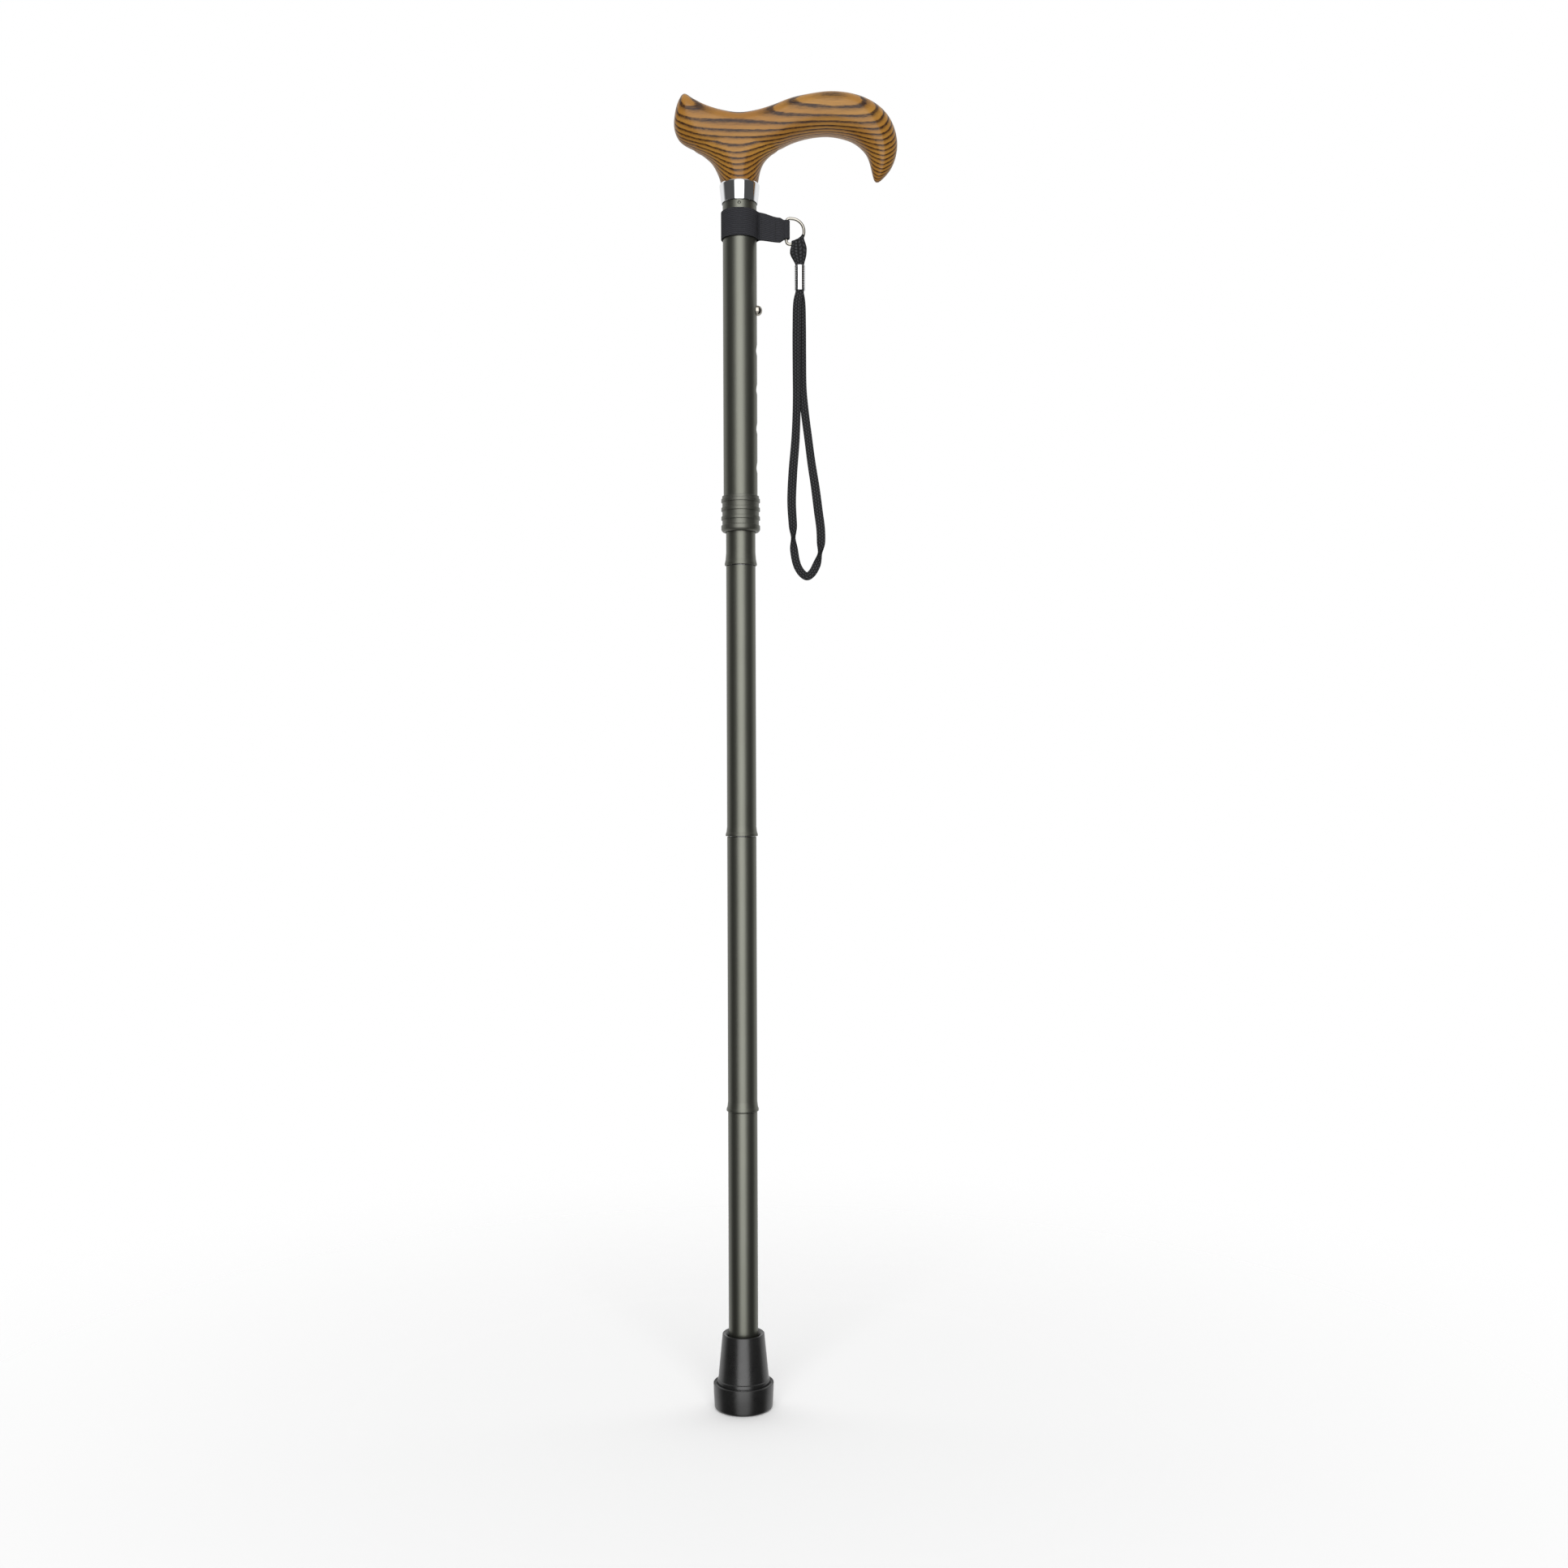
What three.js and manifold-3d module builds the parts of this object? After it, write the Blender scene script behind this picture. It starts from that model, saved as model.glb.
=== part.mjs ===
// Folding, height-adjustable walking cane with one rubber tip and a wooden derby handle.
// Millimetres, +Z up. The origin is the centre of the tip's base, and the handle's hook points to +X.

import * as THREE from 'three';
import { mergeVertices } from 'three/addons/utils/BufferGeometryUtils.js';
import Module from 'manifold-3d';

const wasm = await Module();
wasm.setup();

// ---- Driving dimensions ----

// Gaps between pieces
const REST_GAP = 0.3; // between faces that rest on each other
const TURN_CLEARANCE = 0.3; // radial, where one piece turns in another
const SLIDE_CLEARANCE = 0.2; // radial, where one tube slides in another
const PLUG_CLEARANCE = 0.15; // radial, spigots in their tubes

// Tubes
const UPPER_RADIUS = 11;
const UPPER_WALL = 1.3;
const INNER_WALL = 1.2;
const INNER_RADIUS = UPPER_RADIUS - UPPER_WALL - SLIDE_CLEARANCE;
const INNER_BORE = INNER_RADIUS - INNER_WALL;

// Lengths between the plug-in joints, and from the floor to the lowest one
const FOOT_LENGTH = 192;
const THIRD_LENGTH = 178;
const SECOND_LENGTH = 175.3;
const BELL_LENGTHS = [8.4, 6.3, 6.3]; // flares at the foot of sections 1, 2 and 3
const BELL_FLARE = 0.95;
const BELL_LIP = 1.1; // straight part of the flare
const UPPER_LIFT = 28.7; // from the top joint to the upper tube's foot, at the shortest setting

// Spigots
const SPIGOT_WALL = 1.2;
const SPIGOT_RADIUS = INNER_BORE - PLUG_CLEARANCE;
const SPIGOT_SUNK = 28; // length held in the lower tube
const SPIGOT_RISE = 36; // length that plugs into the upper tube
const GUIDE_NOSE = 6; // tapered nose above the spigot
const GUIDE_TIP_WALL = 2;
const GUIDE_STEM = 10;

// Shock cord
const CORD_RADIUS = 2;
const CORD_CLEARANCE = 0.5;
const KNOT_RADIUS = 3.8;
const KNOT_LENGTH = 5;
const ANCHOR_LENGTH = 12;
const BOTTOM_ANCHOR_BASE = 17;
const TOP_ANCHOR_ROOM = 12.7; // between the top guide's nose and the anchor above it

// Height setting
const HOLE_PITCH = 25.4;
const HOLE_COUNT = 5;
const LOWEST_HOLE = 35.4; // above the upper tube's foot
const BUTTON_TO_INNER_TOP = 16;
const BUTTON_TO_NECK = 77.8;
const HOLE_RADIUS = 3.5;
const BUTTON_RADIUS = HOLE_RADIUS - SLIDE_CLEARANCE;
const BUTTON_PROUD = 3.5; // past the upper tube's skin
const BUTTON_DOME = 2;
const BUTTON_FLANGE_RADIUS = 4;
const BUTTON_FLANGE = 1;
const BUTTON_FLANGE_DEPTH = 1.5; // from the inner tube's bore to the flange
const LEAF_THICKNESS = 0.6;
const LEAF_WIDTH = 7;
const LEAF_BACK_GAP = 1.2; // from the inner tube's bore to the leaf's back leg
const LEAF_REACH = 24; // from the button down to the bend
const CAP_STEM = 7;
const CAP_WALL = 2;
const CAP_RIM = 2;

// Lock collar
const COLLAR_DROP = 6.8; // from the upper tube's foot to the collar's
const COLLAR_HEIGHT = 23.3;
const COLLAR_WALL = 0.7; // between the ribs
const RIB_RISE = 0.6;
const RIB_WIDTH = 2.4;
const RIB_SLOPE = 0.3;
const RIB_PITCH = 5.7;
const RIB_COUNT = 3;
const FIRST_RIB = 7.8; // above the collar's foot
const FLANGE_HEIGHT = 4.5;
const FLANGE_ROUND = 2.2;
const MOUTH_DEPTH = 2;
const MOUTH_CLEARANCE = 0.35; // radial, round the inner tube
const COLLET_WALL = 1.1;
const COLLET_SLIT = 2;

// Plated sleeve under the handle
const SLEEVE_DROP = 8.8; // from the neck's base to the sleeve's foot
const SLEEVE_HEIGHT = 12.5;
const SLEEVE_WALL = 0.55; // at its foot
const SLEEVE_LIP = 1.1; // past the neck
const NECK_STEP = 0.95; // from the tube's skin to the neck's

// Handle fastening
const PLUG_DEPTH = 36.8; // below the neck's base
const DOWEL_RADIUS = 7;
const DOWEL_RISE = 22; // into the neck
const SCREW_RADIUS = 2.5;
const SCREW_HEAD_RADIUS = 4.5;
const SCREW_HEAD = 2;
const SCREW_BITE = 10; // past the dowel's end
const SCREW_POINT = 5;
const WASHER_RADIUS = 7;
const WASHER_THICKNESS = 1.6;

// Rubber tip
const TIP_FLOOR = 8;
const TIP_HEIGHT = 48.4;
const TIP_CLEARANCE = 0.25;
const TIP_TOP_WALL = 3.85;
const TIP_CONE_WALL = 7.15; // at the cone's foot
const TIP_BASE_WALL = 9.55; // at the base ring
const TIP_RING_HEIGHT = 16.8;
const TIP_RING_SWELL = 0.3;
const TIP_CONE_FILLET = 3;
const TIP_FUNNEL = 1.5; // at the mouth of the bore
const TREAD_DEPTH = 1.2;
const TREAD_WIDTH = 3;
const TREAD_RADII = [6, 12]; // inner radii of the two tread grooves
const TIP_WASHER = 1.5;

// Elastic strap
const STRAP_DROP = 33.8; // from the neck's base to the strap's lower edge
const STRAP_WIDTH = 19.6;
const RIBBON = 0.85;
const TAB_LENGTH = 18.25; // from the band to the ring's bar
const TAB_HALF = 1.1;
const TAB_DROP_TOP = 4.2; // how far the tab's upper edge falls towards the ring
const TAB_DROP_BOTTOM = 1.6;
const EYE_END_GAP = 0.8; // between the eye's ends and the ring's legs

// Ring in the tab's fold
const WIRE_RADIUS = 1;
const RING_RISE = 7.3; // from the strap's lower edge to the ring's middle
const RING_BOW = 8.3;
const RING_LEG = 3;
const RING_CORNER = 1.8;
const RING_SPLIT = 0.4;

// Wrist loop
const BRAID_WIDTH = 5.6;
const BRAID_THICKNESS = 2;
const PIVOT_OUT = 7.6; // from the ring's bar to where the braid hangs on the bow
const PIVOT_DROP = 6.5; // from the ring's middle
const EYE_WIDTH = 3.6;
const EYE_WALL = 0.9;
const WIRE_SLANT = 1.65; // height of the slanted wire's section over its own, at the eye's edge
const WIRE_CLIMB = 0.85; // how far the bow climbs within the eye
const SMALL_LOOP_WIDTH = 11.2;
const LOOP_SHOULDER = 3.5; // below the eye
const LOOP_TAPER = 5; // above the crimp
const CRIMP_OUT = 8.5; // from the ring's bar
const CRIMP_DROP = 31.8; // from the pivot to the crimp's foot
const CRIMP_LENGTH = 16;
const CRIMP_WIDTH = 7.4;
const CRIMP_DEPTH = 6.4;
const CRIMP_WALL = 0.6;
const CRIMP_ROUND = 2.4;

// Facets around a turned piece, and the eased edges of small ones
const ROUND = 28;
const SMALL_ROUND = 20;
const EASE = 0.4;

// Heights and radii that follow from these
const JOINT_HEIGHTS = [FOOT_LENGTH + THIRD_LENGTH + SECOND_LENGTH, FOOT_LENGTH + THIRD_LENGTH, FOOT_LENGTH];
const UPPER_BOTTOM = JOINT_HEIGHTS[0] + UPPER_LIFT;
const BUTTON_HEIGHT = UPPER_BOTTOM + LOWEST_HOLE + (HOLE_COUNT - 1) * HOLE_PITCH;
const INNER_TOP = BUTTON_HEIGHT + BUTTON_TO_INNER_TOP;
const NECK_BASE = BUTTON_HEIGHT + BUTTON_TO_NECK;
const NECK_RADIUS = UPPER_RADIUS + NECK_STEP;

// ---- Materials ----

function finish(color, roughness, metalness) {
  return new THREE.MeshStandardMaterial({ color, roughness, metalness });
}

const wood = finish(0xa8702f, 0.35, 0);
const plated = finish(0xd9dbe0, 0.08, 1);
const gunmetal = finish(0x4b4c46, 0.38, 0.8);
const lockPlastic = finish(0x44463f, 0.5, 0.1);
const steel = finish(0xc9c5b8, 0.2, 1);
const springSteel = finish(0x8a8c8f, 0.35, 1);
const aluminium = finish(0xa7a9ab, 0.4, 1);
const plastic = finish(0x1d1d1f, 0.55, 0);
const dowelWood = finish(0xc7a56b, 0.7, 0);
const rubber = finish(0x1b1c1d, 0.6, 0);
const elastic = finish(0x202125, 0.9, 0);
const braid = finish(0x1d1e20, 0.9, 0);
const bungee = finish(0xe4e1d8, 0.9, 0);

// ---- Helpers ----

const cane = new THREE.Group();

function add(name, geometry, material) {
  const mesh = new THREE.Mesh(geometry, material);
  mesh.name = name;
  cane.add(mesh);
}

function toSolid(geometry) {
  const bare = geometry.clone();
  bare.deleteAttribute('normal');
  bare.deleteAttribute('uv');
  const merged = mergeVertices(bare, 1e-4);
  const vertProperties = new Float32Array(merged.attributes.position.array);
  const triVerts = new Uint32Array(merged.index.array);
  return new wasm.Manifold(new wasm.Mesh({ numProp: 3, vertProperties, triVerts }));
}

function toGeometry(solid) {
  const { vertProperties, triVerts } = solid.getMesh();
  const geometry = new THREE.BufferGeometry();
  geometry.setAttribute('position', new THREE.BufferAttribute(vertProperties, 3));
  geometry.setIndex(new THREE.BufferAttribute(triVerts, 1));
  geometry.computeVertexNormals();
  return geometry;
}

// A profile of [radius, height] pairs turned about the vertical axis. It goes up the outside.
// One that doesn't touch the axis closes on itself.
function turned(profile, segments = ROUND) {
  const points = profile.map(([r, z]) => new THREE.Vector2(r, z));
  const first = profile[0];
  const last = profile[profile.length - 1];
  if (first[0] > 0 || last[0] > 0) points.push(points[0].clone());
  const geometry = new THREE.LatheGeometry(points, segments);
  geometry.rotateX(Math.PI / 2);
  return geometry;
}

function ring(outer, inner, base, top, segments = ROUND) {
  return turned([[outer, base], [outer, top], [inner, top], [inner, base]], segments);
}

function disc(radius, base, top, segments = ROUND) {
  return turned([[0, base], [radius, base], [radius, top], [0, top]], segments);
}

// A rod along X between two X values, at one height.
function crossRod(radius, from, to, height) {
  const geometry = new THREE.CylinderGeometry(radius, radius, to - from, SMALL_ROUND);
  geometry.rotateZ(-Math.PI / 2);
  geometry.translate((from + to) / 2, 0, height);
  return geometry;
}

// A closed skin over rings of points that all have the same count, with a flat cap at each end.
function loft(rings) {
  const count = rings[0].length;
  const positions = rings.flat().flatMap((p) => [p.x, p.y, p.z]);
  const faces = [];
  for (let i = 0; i < rings.length - 1; i++) {
    for (let j = 0; j < count; j++) {
      const a = i * count + j;
      const b = i * count + ((j + 1) % count);
      faces.push(a, b, b + count, a, b + count, a + count);
    }
  }
  const lastStart = (rings.length - 1) * count;
  for (let j = 1; j < count - 1; j++) {
    faces.push(0, j + 1, j);
    faces.push(lastStart, lastStart + j, lastStart + j + 1);
  }
  const geometry = new THREE.BufferGeometry();
  geometry.setAttribute('position', new THREE.Float32BufferAttribute(positions, 3));
  geometry.setIndex(faces);
  geometry.computeVertexNormals();
  return geometry;
}

// An outline in X and Z, extruded along Y and centred on it.
function slab(shape, depth, curveSegments = 10) {
  const geometry = new THREE.ExtrudeGeometry(shape, { depth, bevelEnabled: false, curveSegments });
  geometry.translate(0, 0, -depth / 2);
  geometry.rotateX(Math.PI / 2);
  return geometry;
}

// ---- Tube sections, from section 1 at the top to section 4 at the foot ----

function belledTube(base, top, bellLength) {
  const lip = INNER_RADIUS + BELL_FLARE;
  const lipInside = INNER_BORE + BELL_FLARE;
  return turned([
    [lip - EASE, base],
    [lip, base + EASE],
    [lip, base + BELL_LIP],
    [INNER_RADIUS + BELL_FLARE / 4, base + bellLength * 0.6],
    [INNER_RADIUS, base + bellLength],
    [INNER_RADIUS, top],
    [INNER_BORE, top],
    [INNER_BORE, base + bellLength],
    [lipInside, base],
  ]);
}

const UPPER_BORE = UPPER_RADIUS - UPPER_WALL;
const TIP_TUBE_BASE = TIP_FLOOR + REST_GAP + TIP_WASHER + REST_GAP;

function sectionTube(number) {
  const joint = JOINT_HEIGHTS[number - 1];
  const top = number === 1 ? INNER_TOP : JOINT_HEIGHTS[number - 2];
  if (number === 4) return ring(INNER_RADIUS, INNER_BORE, TIP_TUBE_BASE, top);
  const tube = belledTube(joint + REST_GAP, top, BELL_LENGTHS[number - 1]);
  if (number > 1) return tube;
  const hole = crossRod(HOLE_RADIUS, 0, UPPER_RADIUS, BUTTON_HEIGHT);
  return toGeometry(toSolid(tube).subtract(toSolid(hole)));
}

for (let number = 1; number <= 4; number++) {
  add(`section_${number}_tube`, sectionTube(number), gunmetal);
}

// ---- Spigots with their cord guides, one in the top of each lower section ----

const CORD_BORE = CORD_RADIUS + CORD_CLEARANCE;

JOINT_HEIGHTS.forEach((joint, i) => {
  const spigotBore = SPIGOT_RADIUS - SPIGOT_WALL;
  const spigotTop = joint + SPIGOT_RISE;
  add(`insert_tube_${i + 1}`, ring(SPIGOT_RADIUS, spigotBore, joint - SPIGOT_SUNK, spigotTop), aluminium);
  const stem = spigotBore - TURN_CLEARANCE;
  const shoulder = spigotTop + REST_GAP;
  add(`cord_guide_${i + 1}`, turned([
    [stem, spigotTop - GUIDE_STEM],
    [stem, shoulder],
    [SPIGOT_RADIUS, shoulder],
    [SPIGOT_RADIUS - EASE, shoulder + GUIDE_NOSE / 5],
    [CORD_BORE + GUIDE_TIP_WALL, shoulder + GUIDE_NOSE - EASE],
    [CORD_BORE + GUIDE_TIP_WALL - EASE, shoulder + GUIDE_NOSE],
    [CORD_BORE + EASE, shoulder + GUIDE_NOSE],
    [CORD_BORE, shoulder + GUIDE_NOSE - EASE],
    [CORD_BORE, spigotTop - GUIDE_STEM],
  ], SMALL_ROUND), plastic);
});

// ---- Shock cord, knotted behind a plug at each end ----

const ANCHOR_RADIUS = INNER_BORE - TURN_CLEARANCE;

function anchor(base) {
  return ring(ANCHOR_RADIUS, CORD_BORE, base, base + ANCHOR_LENGTH, SMALL_ROUND);
}


function knot(base) {
  return [
    [KNOT_RADIUS * 0.7, base],
    [KNOT_RADIUS, base + KNOT_LENGTH * 0.3],
    [KNOT_RADIUS, base + KNOT_LENGTH * 0.7],
    [KNOT_RADIUS * 0.7, base + KNOT_LENGTH],
  ];
}

const TOP_ANCHOR_BASE = JOINT_HEIGHTS[0] + SPIGOT_RISE + GUIDE_NOSE + TOP_ANCHOR_ROOM;
add('cord_anchor_bottom', anchor(BOTTOM_ANCHOR_BASE), plastic);
add('cord_anchor_top', anchor(TOP_ANCHOR_BASE), plastic);

const LOWER_KNOT = BOTTOM_ANCHOR_BASE - REST_GAP - KNOT_LENGTH;
const UPPER_KNOT = TOP_ANCHOR_BASE + ANCHOR_LENGTH + REST_GAP;

add('shock_cord', turned([
  [0, LOWER_KNOT],
  ...knot(LOWER_KNOT),
  [CORD_RADIUS, LOWER_KNOT + KNOT_LENGTH],
  [CORD_RADIUS, UPPER_KNOT],
  ...knot(UPPER_KNOT),
  [0, UPPER_KNOT + KNOT_LENGTH],
], 12), bungee);

// ---- Height button, its leaf spring and the inner tube's top cap ----

const BUTTON_TIP = UPPER_RADIUS + BUTTON_PROUD;
const FLANGE_FACE = INNER_BORE - BUTTON_FLANGE_DEPTH;

function snapButton() {
  const dome = [];
  const steps = 4;
  for (let i = 0; i <= steps; i++) {
    const angle = (i / steps) * Math.PI / 2;
    dome.push([BUTTON_RADIUS * Math.cos(angle), BUTTON_TIP - BUTTON_DOME * (1 - Math.sin(angle))]);
  }
  dome[steps][0] = 0;
  const geometry = turned([
    [0, FLANGE_FACE - BUTTON_FLANGE],
    [BUTTON_FLANGE_RADIUS, FLANGE_FACE - BUTTON_FLANGE],
    [BUTTON_FLANGE_RADIUS, FLANGE_FACE],
    [BUTTON_RADIUS, FLANGE_FACE],
    ...dome,
  ], SMALL_ROUND);
  geometry.rotateY(Math.PI / 2);
  geometry.translate(0, 0, BUTTON_HEIGHT);
  return geometry;
}

add('snap_button', snapButton(), steel);

// A bent strip: a centre line in X and Z with a thickness, as wide as the leaf.
function leafSpring() {
  const front = FLANGE_FACE - BUTTON_FLANGE - REST_GAP - LEAF_THICKNESS / 2;
  const back = -(INNER_BORE - LEAF_BACK_GAP);
  const bendHeight = BUTTON_HEIGHT - LEAF_REACH;
  const line = new THREE.CatmullRomCurve3([
    new THREE.Vector3(front, 0, BUTTON_HEIGHT + 3.5),
    new THREE.Vector3(front, 0, BUTTON_HEIGHT - 4),
    new THREE.Vector3(front - 0.6, 0, BUTTON_HEIGHT - 12),
    new THREE.Vector3(front - 2.4, 0, bendHeight + 3),
    new THREE.Vector3((front + back) / 2, 0, bendHeight),
    new THREE.Vector3(back + 1.6, 0, bendHeight + 3),
    new THREE.Vector3(back + 0.3, 0, BUTTON_HEIGHT - 12),
    new THREE.Vector3(back, 0, BUTTON_HEIGHT - 2),
  ]);
  const steps = 24;
  const half = LEAF_THICKNESS / 2;
  const left = [];
  const right = [];
  for (let i = 0; i <= steps; i++) {
    const p = line.getPointAt(i / steps);
    const t = line.getTangentAt(i / steps);
    left.push(new THREE.Vector2(p.x + t.z * half, p.z - t.x * half));
    right.unshift(new THREE.Vector2(p.x - t.z * half, p.z + t.x * half));
  }
  return slab(new THREE.Shape([...left, ...right]), LEAF_WIDTH);
}

add('button_spring', leafSpring(), springSteel);

const CAP_BORE = INNER_BORE - TURN_CLEARANCE - CAP_WALL;
add('tube_cap', turned([
  [INNER_BORE - TURN_CLEARANCE, INNER_TOP - CAP_STEM],
  [INNER_BORE - TURN_CLEARANCE, INNER_TOP + REST_GAP],
  [INNER_RADIUS, INNER_TOP + REST_GAP],
  [INNER_RADIUS - EASE, INNER_TOP + REST_GAP + CAP_RIM],
  [CAP_BORE, INNER_TOP + REST_GAP + CAP_RIM],
  [CAP_BORE, INNER_TOP - CAP_STEM],
]), plastic);

// ---- Upper tube, with its row of holes ----

function upperTube() {
  let tube = toSolid(ring(UPPER_RADIUS, UPPER_BORE, UPPER_BOTTOM, NECK_BASE - REST_GAP));
  for (let i = 0; i < HOLE_COUNT; i++) {
    const height = BUTTON_HEIGHT - i * HOLE_PITCH;
    tube = tube.subtract(toSolid(crossRod(HOLE_RADIUS, 0, UPPER_RADIUS + 1, height)));
  }
  return toGeometry(tube);
}

add('upper_tube', upperTube(), gunmetal);

// ---- Lock collar and the split ring that it closes ----

const COLLAR_BASE = UPPER_BOTTOM - COLLAR_DROP;
const COLLAR_BORE = UPPER_RADIUS + TURN_CLEARANCE;
const COLLAR_RADIUS = COLLAR_BORE + COLLAR_WALL;
const RIB_RADIUS = COLLAR_RADIUS + RIB_RISE;
const MOUTH_BORE = INNER_RADIUS + MOUTH_CLEARANCE;

function lockCollar() {
  const top = COLLAR_BASE + COLLAR_HEIGHT;
  const ribs = [];
  for (let i = 0; i < RIB_COUNT; i++) {
    const foot = COLLAR_BASE + FIRST_RIB + i * RIB_PITCH;
    ribs.push([COLLAR_RADIUS, foot], [RIB_RADIUS, foot + RIB_SLOPE]);
    ribs.push([RIB_RADIUS, foot + RIB_WIDTH - RIB_SLOPE], [COLLAR_RADIUS, foot + RIB_WIDTH]);
  }
  return turned([
    [MOUTH_BORE, COLLAR_BASE],
    [RIB_RADIUS - FLANGE_ROUND, COLLAR_BASE],
    [RIB_RADIUS - FLANGE_ROUND / 4, COLLAR_BASE + FLANGE_ROUND / 3],
    [RIB_RADIUS, COLLAR_BASE + FLANGE_ROUND],
    [RIB_RADIUS, COLLAR_BASE + FLANGE_HEIGHT - RIB_RISE],
    [COLLAR_RADIUS, COLLAR_BASE + FLANGE_HEIGHT],
    ...ribs,
    [COLLAR_RADIUS, top - EASE],
    [COLLAR_RADIUS - EASE, top],
    [COLLAR_BORE, top],
    [COLLAR_BORE, COLLAR_BASE + MOUTH_DEPTH],
    [MOUTH_BORE, COLLAR_BASE + MOUTH_DEPTH],
  ]);
}

add('lock_collar', lockCollar(), lockPlastic);

function colletBushing() {
  const inner = INNER_RADIUS + TURN_CLEARANCE;
  const outer = inner + COLLET_WALL;
  const base = COLLAR_BASE + MOUTH_DEPTH + REST_GAP;
  const slit = COLLET_SLIT / 2 / outer;
  const shape = new THREE.Shape();
  shape.absarc(0, 0, outer, -Math.PI + slit, Math.PI - slit, false);
  shape.absarc(0, 0, inner, Math.PI - slit, -Math.PI + slit, true);
  const depth = UPPER_BOTTOM - REST_GAP - base;
  const geometry = new THREE.ExtrudeGeometry(shape, { depth, bevelEnabled: false, curveSegments: ROUND });
  geometry.translate(0, 0, base);
  return geometry;
}

add('collet_bushing', colletBushing(), plastic);

// ---- Plated sleeve over the joint of tube and neck ----

const SLEEVE_BASE = NECK_BASE - SLEEVE_DROP;
const SLEEVE_TOP_RADIUS = NECK_RADIUS + SLEEVE_LIP;
const SLEEVE_BORE = UPPER_RADIUS + TURN_CLEARANCE;
const SLEEVE_TOP = SLEEVE_BASE + SLEEVE_HEIGHT;

add('handle_collar', turned([
  [SLEEVE_BORE + SLEEVE_WALL, SLEEVE_BASE],
  [SLEEVE_TOP_RADIUS, SLEEVE_TOP - 2 * EASE],
  [SLEEVE_TOP_RADIUS - EASE, SLEEVE_TOP],
  [NECK_RADIUS + TURN_CLEARANCE, SLEEVE_TOP],
  [NECK_RADIUS + TURN_CLEARANCE, NECK_BASE - REST_GAP],
  [SLEEVE_BORE, NECK_BASE - REST_GAP],
  [SLEEVE_BORE, SLEEVE_BASE],
]), plated);

// ---- Dowel, washer and screw that hold the handle ----

const PLUG_BASE = NECK_BASE - PLUG_DEPTH;
const DOWEL_TOP = NECK_BASE + DOWEL_RISE;
const SCREW_BORE = SCREW_RADIUS + TURN_CLEARANCE;
const SCREW_TIP = DOWEL_TOP + SCREW_BITE;
const WASHER_TOP = PLUG_BASE - REST_GAP;
const SCREW_HEAD_TOP = WASHER_TOP - WASHER_THICKNESS - REST_GAP;

add('handle_plug', turned([
  [UPPER_BORE - TURN_CLEARANCE, PLUG_BASE],
  [UPPER_BORE - TURN_CLEARANCE, NECK_BASE - REST_GAP],
  [DOWEL_RADIUS, NECK_BASE - REST_GAP],
  [DOWEL_RADIUS, DOWEL_TOP],
  [SCREW_BORE, DOWEL_TOP],
  [SCREW_BORE, PLUG_BASE],
]), dowelWood);

add('screw_washer', ring(WASHER_RADIUS, SCREW_BORE, WASHER_TOP - WASHER_THICKNESS, WASHER_TOP, SMALL_ROUND), steel);

add('handle_screw', turned([
  [0, SCREW_HEAD_TOP - SCREW_HEAD],
  [SCREW_HEAD_RADIUS * 0.75, SCREW_HEAD_TOP - SCREW_HEAD],
  [SCREW_HEAD_RADIUS, SCREW_HEAD_TOP - SCREW_HEAD * 0.4],
  [SCREW_HEAD_RADIUS, SCREW_HEAD_TOP],
  [SCREW_RADIUS, SCREW_HEAD_TOP],
  [SCREW_RADIUS, SCREW_TIP - SCREW_POINT],
  [0, SCREW_TIP],
], SMALL_ROUND), steel);

// ---- Handle ----

// Along the grip from nose to hook tip: X and height of the upper edge, the same of the lower edge, and
// half the width. Heights are above the neck's base.
const GRIP_STATIONS = [
  [-42.4, 45.4, -42.4, 41.2, 2.2],
  [-41.0, 53.2, -41.2, 36.6, 7.0],
  [-38.8, 59.2, -38.8, 32.4, 9.6],
  [-35.6, 63.2, -35.0, 29.0, 11.0],
  [-30.0, 60.1, -29.5, 26.1, 12.0],
  [-22.0, 55.8, -21.0, 23.6, 12.6],
  [-11.0, 52.2, -10.0, 22.6, 12.9],
  [0.0, 50.6, 1.0, 22.4, 12.9],
  [11.0, 52.1, 13.0, 23.0, 12.9],
  [22.0, 55.4, 24.5, 26.2, 13.1],
  [33.0, 59.5, 35.0, 31.2, 13.5],
  [45.0, 62.1, 46.0, 34.3, 13.9],
  [59.0, 63.7, 57.0, 35.3, 14.3],
  [73.0, 62.3, 66.0, 33.9, 14.3],
  [85.0, 58.2, 73.0, 31.2, 14.0],
  [94.0, 51.9, 78.0, 27.3, 13.2],
  [99.8, 43.6, 81.5, 23.1, 12.0],
  [102.7, 33.2, 83.5, 18.8, 10.2],
  [102.1, 23.6, 84.9, 14.4, 8.1],
  [98.8, 14.6, 86.0, 10.5, 5.9],
  [94.4, 8.8, 86.9, 7.2, 3.9],
  [90.4, 5.1, 87.8, 5.0, 1.8],
];
// Up the neck: height above its base, and how far it flares to the left, to the right and to each side.
const NECK_STATIONS = [
  [0, 0, 0, 0],
  [SLEEVE_HEIGHT - SLEEVE_DROP, 0, 0, 0],
  [8.7, 1.35, 0.75, 0.25],
  [13.2, 3.25, 1.75, 0.45],
  [16.7, 5.25, 3.15, 0.65],
  [19.5, 7.55, 4.85, 0.75],
  [23.7, 12.75, 9.05, 0.65],
  [27.2, 18.05, 13.65, 0.05],
  [33.2, 16.05, 11.55, -1.45],
];
const GRIP_RINGS = 42;
const GRIP_SIDES = 18;
const FULLNESS = 0.86; // 1 gives an ellipse, less gives squarer shoulders

function bulge(value) {
  return Math.sign(value) * Math.abs(value) ** FULLNESS;
}

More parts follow.
